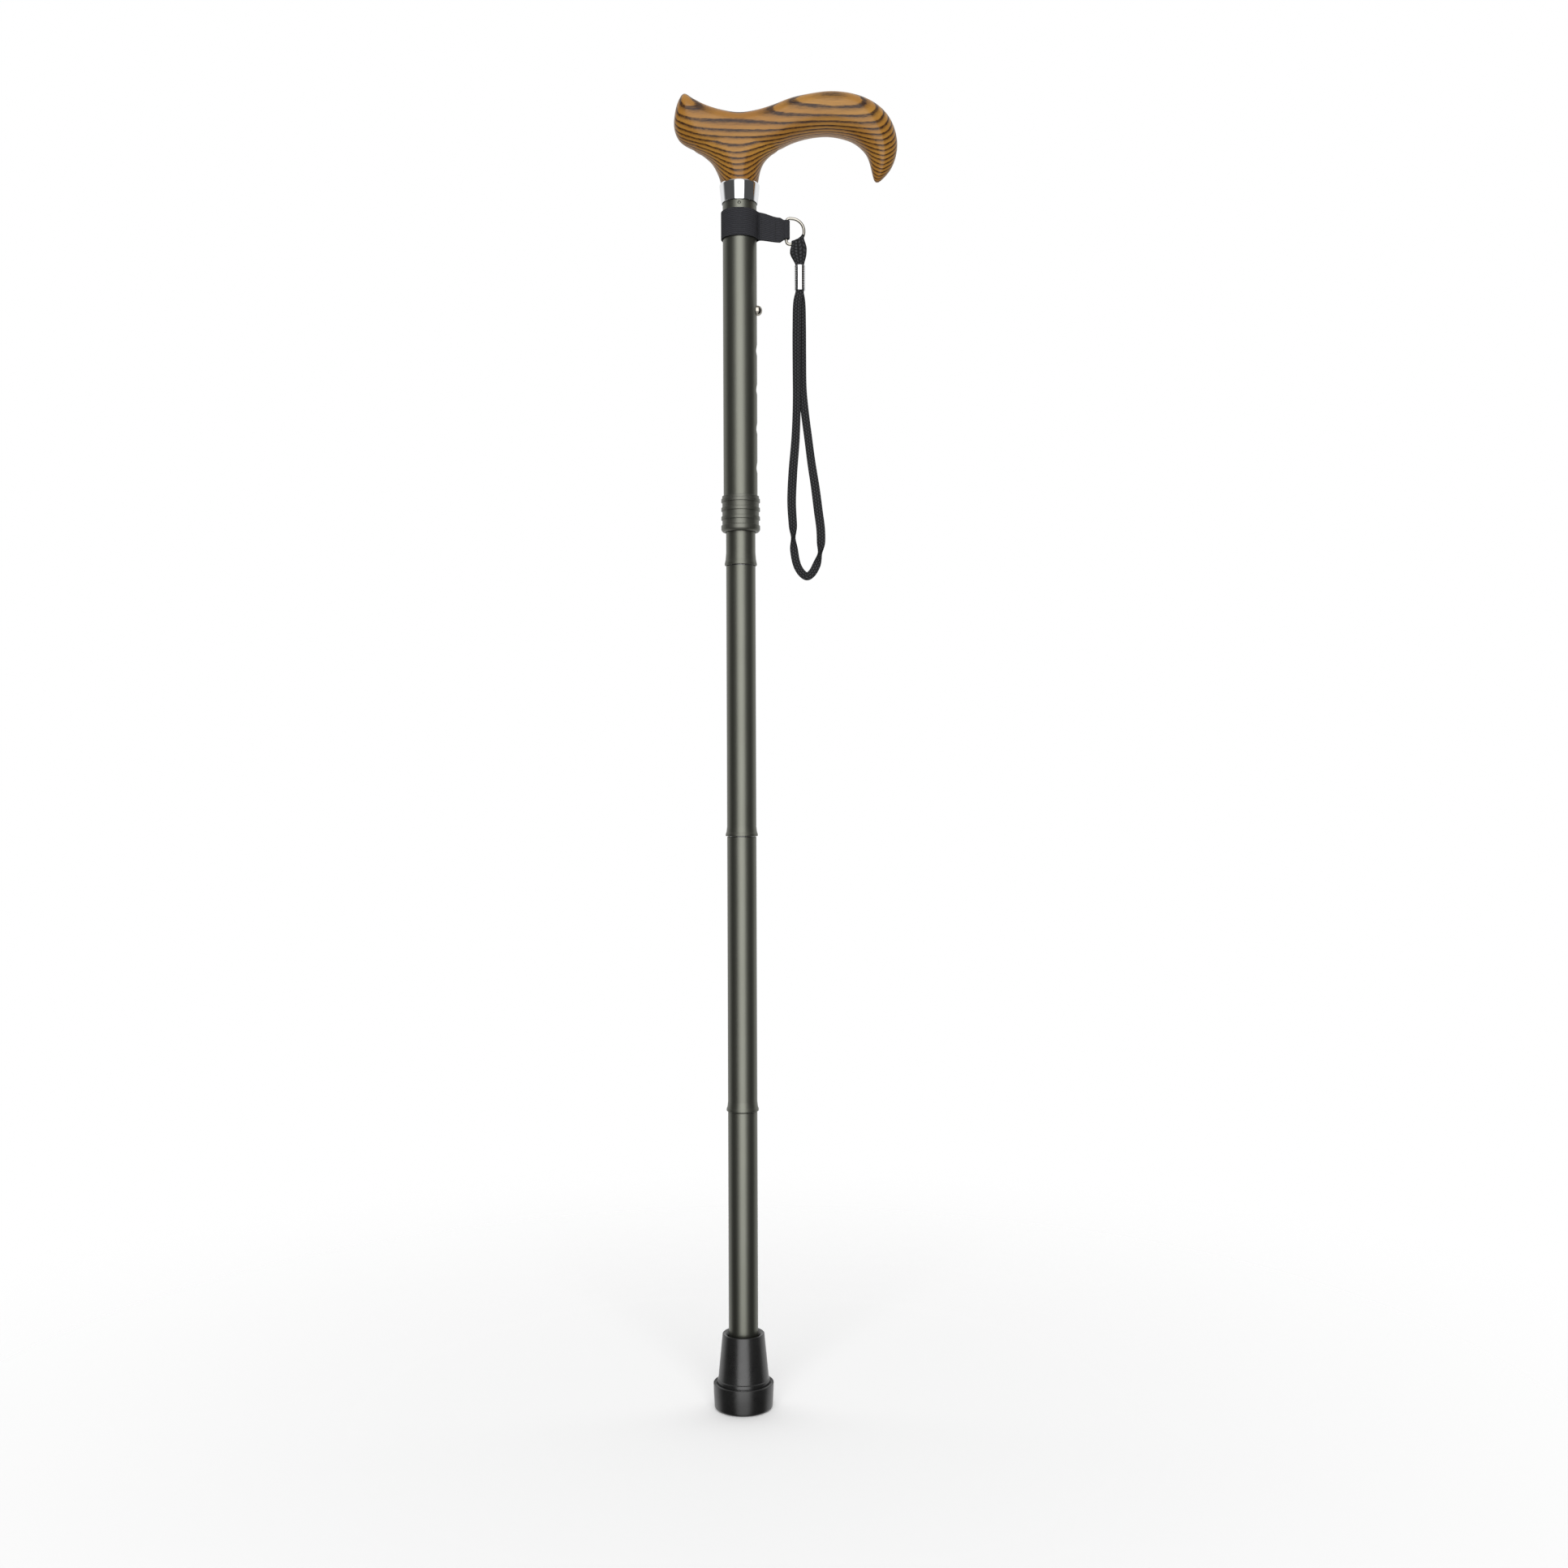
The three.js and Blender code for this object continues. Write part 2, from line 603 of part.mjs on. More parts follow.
function gripSolid() {
  const edge = (xAt, zAt) => new THREE.CatmullRomCurve3(
    GRIP_STATIONS.map((s) => new THREE.Vector3(s[xAt], s[4], NECK_BASE + s[zAt])),
  );
  const upper = edge(0, 1);
  const lower = edge(2, 3);
  const rings = [];
  for (let i = 0; i <= GRIP_RINGS; i++) {
    const high = upper.getPoint(i / GRIP_RINGS);
    const low = lower.getPoint(i / GRIP_RINGS);
    const points = [];
    for (let j = 0; j < GRIP_SIDES; j++) {
      const angle = (j / GRIP_SIDES) * Math.PI * 2;
      const along = 0.5 + 0.5 * bulge(Math.sin(angle));
      points.push(new THREE.Vector3(
        low.x + (high.x - low.x) * along,
        high.y * bulge(Math.cos(angle)),
        low.z + (high.z - low.z) * along,
      ));
    }
    rings.push(points);
  }
  return toSolid(loft(rings));
}

function neckSolid() {
  const rings = NECK_STATIONS.map(([height, left, right, side]) => {
    const points = [];
    const halfX = NECK_RADIUS + (left + right) / 2;
    for (let j = 0; j < GRIP_SIDES; j++) {
      const angle = (j / GRIP_SIDES) * Math.PI * 2;
      const x = (right - left) / 2 + halfX * Math.cos(angle);
      points.push(new THREE.Vector3(x, (NECK_RADIUS + side) * Math.sin(angle), NECK_BASE + height));
    }
    return points;
  });
  return toSolid(loft(rings));
}

function handle() {
  const dowelHole = disc(DOWEL_RADIUS + TURN_CLEARANCE, NECK_BASE - 1, DOWEL_TOP + REST_GAP);
  const screwHole = disc(SCREW_BORE, NECK_BASE - 1, SCREW_TIP + REST_GAP, SMALL_ROUND);
  const whole = gripSolid().add(neckSolid());
  return toGeometry(whole.subtract(toSolid(dowelHole)).subtract(toSolid(screwHole)));
}

add('handle', handle(), wood);

// ---- Elastic strap: a ribbon round the upper tube with its ends sewn into a tab ----

const BAND_INNER = UPPER_RADIUS + TURN_CLEARANCE;
const BAND_OUTER = BAND_INNER + RIBBON;
const STRAP_BASE = NECK_BASE - STRAP_DROP;
const RING_BAR_X = BAND_OUTER + TAB_LENGTH;
const RING_CENTRE_Z = STRAP_BASE + RING_RISE;
const EYE_INNER = WIRE_RADIUS + TURN_CLEARANCE;
const EYE_OUTER = EYE_INNER + RIBBON;

function strapOutline() {
  const leaves = Math.asin(TAB_HALF / BAND_OUTER);
  const meets = Math.asin(TAB_HALF / EYE_OUTER);
  const shape = new THREE.Shape();
  shape.absarc(0, 0, BAND_OUTER, leaves, Math.PI * 2 - leaves, false);
  shape.absarc(RING_BAR_X, 0, EYE_OUTER, Math.PI + meets, Math.PI * 3 - meets, false);
  const band = new THREE.Path();
  band.absarc(0, 0, BAND_INNER, 0, Math.PI * 2, true);
  const eye = new THREE.Path();
  eye.absarc(RING_BAR_X, 0, EYE_INNER, 0, Math.PI * 2, true);
  shape.holes.push(band, eye);
  return shape;
}

// The tab's edges fall towards the ring, and its eye is shorter than the ring's bar.
function elasticStrap() {
  const geometry = new THREE.ExtrudeGeometry(strapOutline(), {
    depth: STRAP_WIDTH,
    bevelEnabled: false,
    curveSegments: SMALL_ROUND,
  });
  const eyeHalf = RING_BOW - WIRE_RADIUS - EYE_END_GAP;
  const position = geometry.attributes.position;
  for (let i = 0; i < position.count; i++) {
    const out = Math.max(0, position.getX(i) - BAND_OUTER) / TAB_LENGTH;
    const upper = position.getZ(i) > STRAP_WIDTH / 2;
    const inEye = position.getX(i) > RING_BAR_X - EYE_OUTER - TURN_CLEARANCE;
    let height = STRAP_BASE + position.getZ(i);
    height -= out * (upper ? TAB_DROP_TOP : TAB_DROP_BOTTOM);
    if (inEye) height = RING_CENTRE_Z + (upper ? eyeHalf : -eyeHalf);
    position.setZ(i, height);
  }
  return geometry;
}

add('elastic_strap', elasticStrap(), elastic);

// ---- D-ring: a bar in the tab's eye and a bow outside it, split in the bar ----

function dRing() {
  const points = [];
  const bowX = RING_BAR_X + RING_LEG;
  const point = (x, z) => points.push(new THREE.Vector3(x, 0, z));
  point(RING_BAR_X, RING_CENTRE_Z - RING_SPLIT / 2);
  point(RING_BAR_X, RING_CENTRE_Z - RING_BOW * 0.4);
  point(RING_BAR_X, RING_CENTRE_Z - RING_BOW + RING_CORNER);
  point(RING_BAR_X + RING_CORNER / 3, RING_CENTRE_Z - RING_BOW + RING_CORNER / 3);
  point(RING_BAR_X + RING_CORNER, RING_CENTRE_Z - RING_BOW);
  const steps = 8;
  for (let i = 0; i <= steps; i++) {
    const angle = -Math.PI / 2 + (i / steps) * Math.PI;
    point(bowX + RING_BOW * Math.cos(angle), RING_CENTRE_Z + RING_BOW * Math.sin(angle));
  }
  point(RING_BAR_X + RING_CORNER, RING_CENTRE_Z + RING_BOW);
  point(RING_BAR_X + RING_CORNER / 3, RING_CENTRE_Z + RING_BOW - RING_CORNER / 3);
  point(RING_BAR_X, RING_CENTRE_Z + RING_BOW - RING_CORNER);
  point(RING_BAR_X, RING_CENTRE_Z + RING_BOW * 0.4);
  point(RING_BAR_X, RING_CENTRE_Z + RING_SPLIT / 2);
  const section = new THREE.Shape();
  section.absarc(0, 0, WIRE_RADIUS, 0, Math.PI * 2, false);
  return new THREE.ExtrudeGeometry(section, {
    steps: 44,
    curveSegments: 4,
    bevelEnabled: false,
    extrudePath: new THREE.CatmullRomCurve3(points),
  });
}

add('d_ring', dRing(), steel);

// ---- Small loop of braid on the ring, and the crimped sleeve below it ----

const PIVOT_X = RING_BAR_X + PIVOT_OUT;
const PIVOT_Z = RING_CENTRE_Z - PIVOT_DROP;
const CRIMP_X = RING_BAR_X + CRIMP_OUT;
const CRIMP_BASE = PIVOT_Z - CRIMP_DROP;
const CRIMP_TOP = CRIMP_BASE + CRIMP_LENGTH;
const CRIMP_MIDDLE = (CRIMP_BASE + CRIMP_TOP) / 2;
const EYE_RADIUS = WIRE_RADIUS * WIRE_SLANT + WIRE_CLIMB + TURN_CLEARANCE;

function smallLoop() {
  const eyeOuter = EYE_RADIUS + EYE_WALL;
  const eyeRing = new THREE.Shape();
  eyeRing.absarc(0, 0, eyeOuter, 0, Math.PI * 2, false);
  const hole = new THREE.Path();
  hole.absarc(0, 0, EYE_RADIUS, 0, Math.PI * 2, true);
  eyeRing.holes.push(hole);
  const eye = new THREE.ExtrudeGeometry(eyeRing, { depth: EYE_WIDTH, bevelEnabled: false, curveSegments: 10 });
  eye.translate(0, 0, -EYE_WIDTH / 2);
  eye.rotateY(Math.PI / 2);
  eye.translate(PIVOT_X, 0, PIVOT_Z);
  const throat = PIVOT_Z - EYE_RADIUS - EYE_WALL * 0.6;
  const halfThroat = EYE_WIDTH / 2;
  const tail = CRIMP_WIDTH / 2 - CRIMP_WALL - TURN_CLEARANCE;
  const wide = SMALL_LOOP_WIDTH / 2;
  const drop = new THREE.Shape();
  drop.moveTo(PIVOT_X - halfThroat, throat);
  drop.lineTo(PIVOT_X - wide, throat - LOOP_SHOULDER);
  drop.lineTo(PIVOT_X - wide, CRIMP_TOP + LOOP_TAPER);
  drop.lineTo(CRIMP_X - tail, CRIMP_TOP + REST_GAP);
  drop.lineTo(CRIMP_X - tail, CRIMP_MIDDLE + REST_GAP / 2);
  drop.lineTo(CRIMP_X + tail, CRIMP_MIDDLE + REST_GAP / 2);
  drop.lineTo(CRIMP_X + tail, CRIMP_TOP + REST_GAP);
  drop.lineTo(PIVOT_X + wide, CRIMP_TOP + LOOP_TAPER);
  drop.lineTo(PIVOT_X + wide, throat - LOOP_SHOULDER);
  drop.lineTo(PIVOT_X + halfThroat, throat);
  return toGeometry(toSolid(eye).add(toSolid(slab(drop, CRIMP_DEPTH - 2 * CRIMP_WALL - 2 * TURN_CLEARANCE))));
}

add('ring_loop', smallLoop(), braid);

function roundedRectangle(target, width, depth, radius) {
  const x = width / 2 - radius;
  const y = depth / 2 - radius;
  target.absarc(x, y, radius, 0, Math.PI / 2, false);
  target.absarc(-x, y, radius, Math.PI / 2, Math.PI, false);
  target.absarc(-x, -y, radius, Math.PI, Math.PI * 1.5, false);
  target.absarc(x, -y, radius, Math.PI * 1.5, Math.PI * 2, false);
  return target;
}

function crimpSleeve() {
  const outline = roundedRectangle(new THREE.Shape(), CRIMP_WIDTH, CRIMP_DEPTH, CRIMP_ROUND);
  const bore = roundedRectangle(new THREE.Path(), CRIMP_WIDTH - 2 * CRIMP_WALL, CRIMP_DEPTH - 2 * CRIMP_WALL, CRIMP_WALL);
  outline.holes.push(bore);
  const geometry = new THREE.ExtrudeGeometry(outline, {
    depth: CRIMP_LENGTH,
    bevelEnabled: false,
    curveSegments: 5,
  });
  geometry.translate(CRIMP_X, 0, CRIMP_BASE);
  return geometry;
}

add('crimp_sleeve', crimpSleeve(), plated);

// ---- Wrist loop: one braid that leaves the crimp, hangs down, turns and comes back ----

// Each point is X and Z from the middle of the crimp's foot, with Y between them. The two strands lie
// one behind the other near the crimp.
const STRAND_RISE = CRIMP_LENGTH / 2 - REST_GAP / 2;
const WRIST_LOOP_ROUTE = [
  [0.0, -1.25, STRAND_RISE],
  [0.0, -1.25, 0.0],
  [-1.5, -1.30, -8.0],
  [-2.0, -1.30, -24.0],
  [-2.2, -1.30, -49.0],
  [-2.3, -1.30, -74.0],
  [-3.1, -1.20, -95.5],
  [-5.0, -1.20, -119.0],
  [-5.8, -1.20, -137.6],
  [-5.0, -1.20, -153.4],
  [-4.3, -1.10, -169.0],
  [-2.1, -1.00, -179.0],
  [1.1, -0.60, -183.8],
  [4.0, 0.00, -185.4],
  [6.9, 0.50, -183.6],
  [10.1, 0.90, -178.2],
  [12.7, 1.10, -169.0],
  [13.1, 1.20, -156.5],
  [11.5, 1.20, -142.9],
  [9.5, 1.20, -127.1],
  [7.1, 1.20, -111.3],
  [5.1, 1.30, -95.5],
  [3.1, 1.30, -79.8],
  [1.5, 1.30, -64.0],
  [1.1, 1.30, -43.0],
  [1.1, 1.30, -22.0],
  [0.9, 1.30, -8.0],
  [0.0, 1.25, 0.0],
  [0.0, 1.25, STRAND_RISE],
];

function wristLoop() {
  const route = new THREE.CatmullRomCurve3(
    WRIST_LOOP_ROUTE.map(([x, y, z]) => new THREE.Vector3(CRIMP_X + x, y, CRIMP_BASE + z)),
  );
  const section = new THREE.Shape();
  section.absellipse(0, 0, BRAID_THICKNESS / 2, BRAID_WIDTH / 2, 0, Math.PI * 2, false, 0);
  return new THREE.ExtrudeGeometry(section, {
    steps: 72,
    curveSegments: 4,
    bevelEnabled: false,
    extrudePath: route,
  });
}

add('wrist_loop', wristLoop(), braid);

// ---- Rubber tip and its washer ----

function rubberTip() {
  const bore = INNER_RADIUS + TIP_CLEARANCE;
  const base = bore + TIP_BASE_WALL;
  const coneFoot = bore + TIP_CONE_WALL;
  const coneTop = bore + TIP_TOP_WALL;
  const tread = [];
  for (const inner of TREAD_RADII) {
    tread.push([inner, 0], [inner + EASE, TREAD_DEPTH]);
    tread.push([inner + TREAD_WIDTH - EASE, TREAD_DEPTH], [inner + TREAD_WIDTH, 0]);
  }
  return turned([
    [0, 0],
    ...tread,
    [base - 1, 0],
    [base - TIP_RING_SWELL, 1],
    [base, TIP_RING_HEIGHT / 2],
    [base + TIP_RING_SWELL, TIP_RING_HEIGHT - 1],
    [base - 2 * TIP_RING_SWELL, TIP_RING_HEIGHT],
    [coneFoot + EASE, TIP_RING_HEIGHT + TIP_RING_SWELL],
    [coneFoot, TIP_RING_HEIGHT + TIP_CONE_FILLET],
    [coneTop, TIP_HEIGHT - 2 * EASE],
    [coneTop - EASE, TIP_HEIGHT],
    [bore + TIP_FUNNEL, TIP_HEIGHT - EASE],
    [bore, TIP_HEIGHT - EASE - TIP_FUNNEL],
    [bore, TIP_FLOOR],
    [0, TIP_FLOOR],
  ]);
}

add('ferrule', rubberTip(), rubber);
add('ferrule_washer', disc(INNER_RADIUS - TURN_CLEARANCE, TIP_FLOOR + REST_GAP, TIP_FLOOR + REST_GAP + TIP_WASHER), steel);

export default cane;
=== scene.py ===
"""Looks for the folding cane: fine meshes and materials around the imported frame.

Metres, +Z up. The handle's hook points to +X and the viewer stands at -Y.
"""
import math

import bmesh
import bpy
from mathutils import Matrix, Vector


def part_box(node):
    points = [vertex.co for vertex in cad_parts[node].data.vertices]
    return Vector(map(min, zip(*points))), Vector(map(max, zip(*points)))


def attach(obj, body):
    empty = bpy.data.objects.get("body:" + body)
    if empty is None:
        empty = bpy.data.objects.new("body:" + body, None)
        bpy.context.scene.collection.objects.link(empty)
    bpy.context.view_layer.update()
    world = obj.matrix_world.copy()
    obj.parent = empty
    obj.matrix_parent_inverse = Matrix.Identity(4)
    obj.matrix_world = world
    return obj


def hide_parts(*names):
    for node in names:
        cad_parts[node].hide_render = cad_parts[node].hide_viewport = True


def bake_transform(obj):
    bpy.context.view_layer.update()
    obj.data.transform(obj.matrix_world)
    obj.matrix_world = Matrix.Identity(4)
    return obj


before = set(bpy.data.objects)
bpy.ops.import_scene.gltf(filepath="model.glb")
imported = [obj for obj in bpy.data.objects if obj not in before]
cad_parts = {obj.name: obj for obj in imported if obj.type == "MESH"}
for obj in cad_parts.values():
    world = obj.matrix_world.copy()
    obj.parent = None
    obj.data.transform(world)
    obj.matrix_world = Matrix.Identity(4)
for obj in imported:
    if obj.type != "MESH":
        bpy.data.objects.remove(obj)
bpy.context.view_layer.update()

# ---- Camera ----

CAMERA_X = 0.0275
CAMERA_HEIGHT = 0.404
CAMERA_DISTANCE = 1.13
LENS = 40
SENSOR = 36
CAMERA_LEAN = math.radians(0.2)


def add_camera():
    data = bpy.data.cameras.new("camera")
    data.lens = LENS
    data.sensor_width = SENSOR
    camera = bpy.data.objects.new("camera", data)
    camera.location = (CAMERA_X, -CAMERA_DISTANCE, CAMERA_HEIGHT)
    camera.rotation_euler = (math.pi / 2, CAMERA_LEAN, 0)
    bpy.context.scene.collection.objects.link(camera)
    bpy.context.scene.camera = camera


add_camera()

# ---- Sizes shared by several pieces ----


def top(node):
    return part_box(node)[1].z


def base(node):
    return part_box(node)[0].z


def radius(node):
    """The outer radius of a node that is turned about the shaft's axis."""
    low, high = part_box(node)
    return (high.y - low.y) / 2


UPPER_RADIUS = radius("upper_tube")
UPPER_WALL = 0.0013
UPPER_BORE = UPPER_RADIUS - UPPER_WALL
INNER_RADIUS = radius("section_4_tube")
INNER_WALL = 0.0012
INNER_BORE = INNER_RADIUS - INNER_WALL
CORD_RADIUS = 0.002
CORD_BORE = CORD_RADIUS + 0.0005
SPIGOT_BORE = radius("insert_tube_1") - INNER_WALL
SCREW_BORE = 0.0028
TURN_CLEARANCE = 0.0003
HOLE_RADIUS = 0.0035
HOLE_PITCH = 0.0254
HOLE_COUNT = 5
BUTTON_HEIGHT = (base("snap_button") + top("snap_button")) / 2
NECK_BASE = base("handle")
EASE = 0.0004

# ---- Mesh helpers ----


def smoothstep(value, start, end):
    """0 before start, 1 after end, with a soft change between them."""
    t = min(max((value - start) / (end - start), 0.0), 1.0)
    return t * t * (3 - 2 * t)


def bulge(value, power):
    """The value's size to a power, with its sign kept."""
    return math.copysign(abs(value) ** power, value)


def spline_point(points, t):
    """A point on the centripetal Catmull-Rom curve through the given points, at a share of its spans."""
    place = (len(points) - 1) * t
    i = min(int(place), len(points) - 2)
    w = place - i
    p1, p2 = points[i], points[i + 1]
    p0 = points[i - 1] if i else p1 * 2 - p2
    p3 = points[i + 2] if i + 2 < len(points) else p2 * 2 - p1
    d0, d1, d2 = (max((b - a).length, 1e-9) ** 0.5 for a, b in ((p0, p1), (p1, p2), (p2, p3)))
    m1 = ((p1 - p0) / d0 - (p2 - p0) / (d0 + d1) + (p2 - p1) / d1) * d1
    m2 = ((p2 - p1) / d1 - (p3 - p1) / (d1 + d2) + (p3 - p2) / d2) * d1
    rise = p2 - p1
    return p1 + m1 * w + (rise * 3 - m1 * 2 - m2) * w ** 2 + (m1 + m2 - rise * 2) * w ** 3


def spline(points, count):
    """Points at equal steps of length along the curve."""
    dense = [spline_point(points, i / (count * 6)) for i in range(count * 6 + 1)]
    lengths = [0.0]
    for a, b in zip(dense, dense[1:]):
        lengths.append(lengths[-1] + (b - a).length)
    result, j = [], 0
    for i in range(count + 1):
        goal = lengths[-1] * i / count
        while j < len(dense) - 2 and lengths[j + 1] < goal:
            j += 1
        share = (goal - lengths[j]) / max(lengths[j + 1] - lengths[j], 1e-12)
        result.append(dense[j].lerp(dense[j + 1], min(max(share, 0.0), 1.0)))
    return result


def circle(count):
    """Equal steps round a circle: each one's angle with its cosine and sine."""
    angles = [math.tau * j / count for j in range(count)]
    return [(angle, math.cos(angle), math.sin(angle)) for angle in angles]


def tangents(points, closed=False):
    last = len(points) - 1
    result = []
    for i in range(len(points)):
        after = points[(i + 1) % len(points)] if closed else points[min(i + 1, last)]
        before = points[i - 1] if closed or i else points[0]
        result.append((after - before).normalized())
    return result


def skin(rings, closed=False):
    """Faces over rings of points. A closed skin joins its last ring to its first; an open one is capped."""
    count = len(rings[0])
    points = [p for ring in rings for p in ring]
    faces = []
    for i in range(len(rings) if closed else len(rings) - 1):
        here, there = i * count, (i + 1) % len(rings) * count
        for j in range(count):
            k = (j + 1) % count
            faces.append((here + j, here + k, there + k, there + j))
    if not closed:
        faces.append(tuple(range(count))[::-1])
        faces.append(tuple(range(len(points) - count, len(points))))
    return points, faces


def joined(*skins):
    points, faces = [], []
    for more_points, more_faces in skins:
        start = len(points)
        points += more_points
        faces += [tuple(start + i for i in face) for face in more_faces]
    return points, faces


def to_mesh(name, points, faces, crease=40):
    mesh = bpy.data.meshes.new(name)
    mesh.from_pydata([tuple(p) for p in points], [], faces)
    mesh.validate()
    finish_mesh(mesh, crease)
    return mesh


def finish_mesh(mesh, crease=40):
    """Smooth shading, except across edges sharper than the crease."""
    work = bmesh.new()
    work.from_mesh(mesh)
    bmesh.ops.recalc_face_normals(work, faces=work.faces)
    work.to_mesh(mesh)
    work.free()
    mesh.shade_smooth()
    mesh.set_sharp_from_angle(angle=math.radians(crease))


def to_object(name, mesh):
    obj = bpy.data.objects.new(name, mesh)
    bpy.context.scene.collection.objects.link(obj)
    return obj


def place(obj, body, slot, material, *nodes):
    """Dresses a piece, sets it on its body and hides the nodes it stands for."""
    obj.data.materials.clear()
    obj.data.materials.append(material)
    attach(obj, body)
    if nodes:
        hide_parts(*nodes)
    return obj


def solid(name, shape, body, slot, material, *nodes, crease=40):
    """A piece made from points and faces, then dressed and placed."""
    return place(to_object(name, to_mesh(name, *shape, crease=crease)), body, slot, material, *nodes)


def blended(name, shape, slot, material, node, bodies, start, end, crease):
    """A piece dressed in its material in place of the node, with its transform baked into its mesh. It is set
    on no body; its bodies, start and end are not used.
    """
    obj = to_object(name, to_mesh(name, *shape, crease=crease))
    obj.data.materials.append(material)
    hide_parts(node)
    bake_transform(obj)


def paint(mesh, name, values):
    """Gives each point of a mesh a number that its material reads."""
    mesh.attributes.new(name, "FLOAT", "POINT").data.foreach_set("value", values)


def filleted(profile, steps=5):
    """The outline with its corners rounded. A point is (radius, height) or (radius, height, fillet)."""
    result = []
    for i, point in enumerate(profile):
        corner = Vector(point[:2])
        before = Vector(profile[i - 1][:2]) - corner
        after = Vector(profile[(i + 1) % len(profile)][:2]) - corner
        fillet = point[2] if len(point) > 2 else 0
        if not fillet:
            result.append(corner)
            continue
        half = before.angle(after) / 2
        trim = min(fillet / math.tan(half), before.length * 0.48, after.length * 0.48)
        start, end = corner + before.normalized() * trim, corner + after.normalized() * trim
        for k in range(steps + 1):
            t = k / steps
            result.append(start * (1 - t) ** 2 + corner * (2 * t * (1 - t)) + end * t ** 2)
    return result


def turned(profile, segments=96):
    """The profile turned about the shaft's axis. One that doesn't reach the axis closes on itself."""
    outline = filleted(profile)
    on_axis = [p.x < 1e-7 for p in outline]
    points, rows, faces = [], [], []
    for p, central in zip(outline, on_axis):
        rows.append(len(points))
        for _, c, s in circle(segments)[:1 if central else segments]:
            points.append(Vector((p.x * c, p.x * s, p.y)))
    pairs = list(range(len(outline) - 1))
    if not (on_axis[0] or on_axis[-1]):
        pairs.append(len(outline) - 1)
    for i in pairs:
        k = (i + 1) % len(outline)
        for j in range(segments):
            after = (j + 1) % segments
            quad = [rows[i] + (0 if on_axis[i] else j), rows[i] + (0 if on_axis[i] else after)]
            quad += [rows[k] + (0 if on_axis[k] else after), rows[k] + (0 if on_axis[k] else j)]
            corners = list(dict.fromkeys(quad))
            if len(corners) > 2:
                faces.append(tuple(corners))
    return points, faces


def tube(points, bar_radius, sides=20, rounded=0):
    """A round bar along the points. Its ends are rounded over that many rings."""
    along = tangents(points)
    side = along[0].orthogonal().normalized()
    rings = []
    for i, (centre, direction) in enumerate(zip(points, along)):
        side = (side - direction * side.dot(direction)).normalized()
        up = direction.cross(side)
        from_end = min(i, len(points) - 1 - i)
        scale = 1.0 if from_end >= rounded else math.sin(math.pi / 2 * (from_end + 0.6) / (rounded + 0.6))
        rings.append([centre + (side * c + up * s) * bar_radius * scale for _, c, s in circle(sides)])
    return skin(rings)


def upright_to_x(points, height):
    """Lays points turned about the vertical axis along +X, at a height."""
    return [Vector((p.z, p.y, height - p.x)) for p in points]


def settled(obj, crease=40):
    """Applies the object's modifiers to its mesh."""
    graph = bpy.context.evaluated_depsgraph_get()
    mesh = bpy.data.meshes.new_from_object(obj.evaluated_get(graph))
    obj.modifiers.clear()
    obj.data = mesh
    mesh.shade_smooth()
    mesh.set_sharp_from_angle(angle=math.radians(crease))


def cut(obj, *tools, crease=40):
    """Cuts the tools' solids out of the object's mesh."""
    cutters = []
    for points, faces in tools:
        cutter = to_object("cutter", to_mesh("cutter", points, faces))
        cutters.append(cutter)
        modifier = obj.modifiers.new("cut", "BOOLEAN")
        modifier.operation = "DIFFERENCE"
        modifier.solver = "EXACT"
        modifier.object = cutter
    settled(obj, crease)
    for cutter in cutters:
        bpy.data.objects.remove(cutter)


# ---- Materials ----


class Graph:
    """Shader nodes fed from one kind of coordinates."""

    def __init__(self, tree, coordinates):
        self.tree = tree
        self.place = self.add("TexCoord").outputs[coordinates]

    def feed(self, socket, value):
        if isinstance(value, bpy.types.NodeSocket):
            self.tree.links.new(value, socket)
        else:
            socket.default_value = value

    def add(self, kind, inputs=None, **settings):
        node = self.tree.nodes.new("ShaderNode" + kind)
        for name, value in settings.items():
            setattr(node, name, value)
        for key, value in (inputs or {}).items():
            self.feed(node.inputs[key], value)
        return node

    def math(self, operation, first, second=0.0):
        return self.add("Math", {0: first, 1: second}, operation=operation).outputs[0]

    def times(self, first, second):
        return self.math("MULTIPLY", first, second)

    def plus(self, first, second):
        return self.math("ADD", first, second)

    def minus(self, first, second):
        return self.math("SUBTRACT", first, second)

    def axes(self):
        return self.add("SeparateXYZ", {0: self.place}).outputs

    def noise(self, scale, detail=2.0, rough=0.5):
        """Soft noise from 0 to 1. The scale is per metre along X, Y and Z."""
        stretched = self.add("VectorMath", {0: self.place, 1: scale}, operation="MULTIPLY").outputs[0]
        inputs = {"Vector": stretched, "Scale": 1.0, "Detail": detail, "Roughness": rough}
        return self.add("TexNoise", inputs).outputs[0]

    def span(self, value, low, high, start=0.0, end=1.0):
        """Maps start to low and end to high."""
        return self.ranged(value, low, high, start, end).outputs[0]

    def fade(self, value, start, end, low=0.0, high=1.0):
        """Goes softly from low at start to high at end."""
        return self.ranged(value, low, high, start, end, interpolation_type="SMOOTHSTEP").outputs[0]

    def ranged(self, value, low, high, start, end, **settings):
        inputs = {"Value": value, "From Min": start, "From Max": end, "To Min": low, "To Max": high}
        return self.add("MapRange", inputs, **settings)

    def mix(self, factor, first, second):
        node = self.add("Mix", {0: factor}, data_type="RGBA")
        for key, value in ((6, first), (7, second)):
            self.feed(node.inputs[key], (*value, 1.0) if isinstance(value, tuple) else value)
        return node.outputs[2]

    def ramp(self, factor, stops):
        """Grey levels along a ramp, as (place, level)."""
        node = self.add("ValToRGB", {0: factor})
        elements = node.color_ramp.elements
        while len(elements) < len(stops):
            elements.new(0.5)
        for element, (position, level) in zip(elements, stops):
            element.position = position
            element.color = (level, level, level, 1.0)
        return node.outputs[0]

    def attribute(self, name):
        return self.add("Attribute", attribute_name=name).outputs["Fac"]


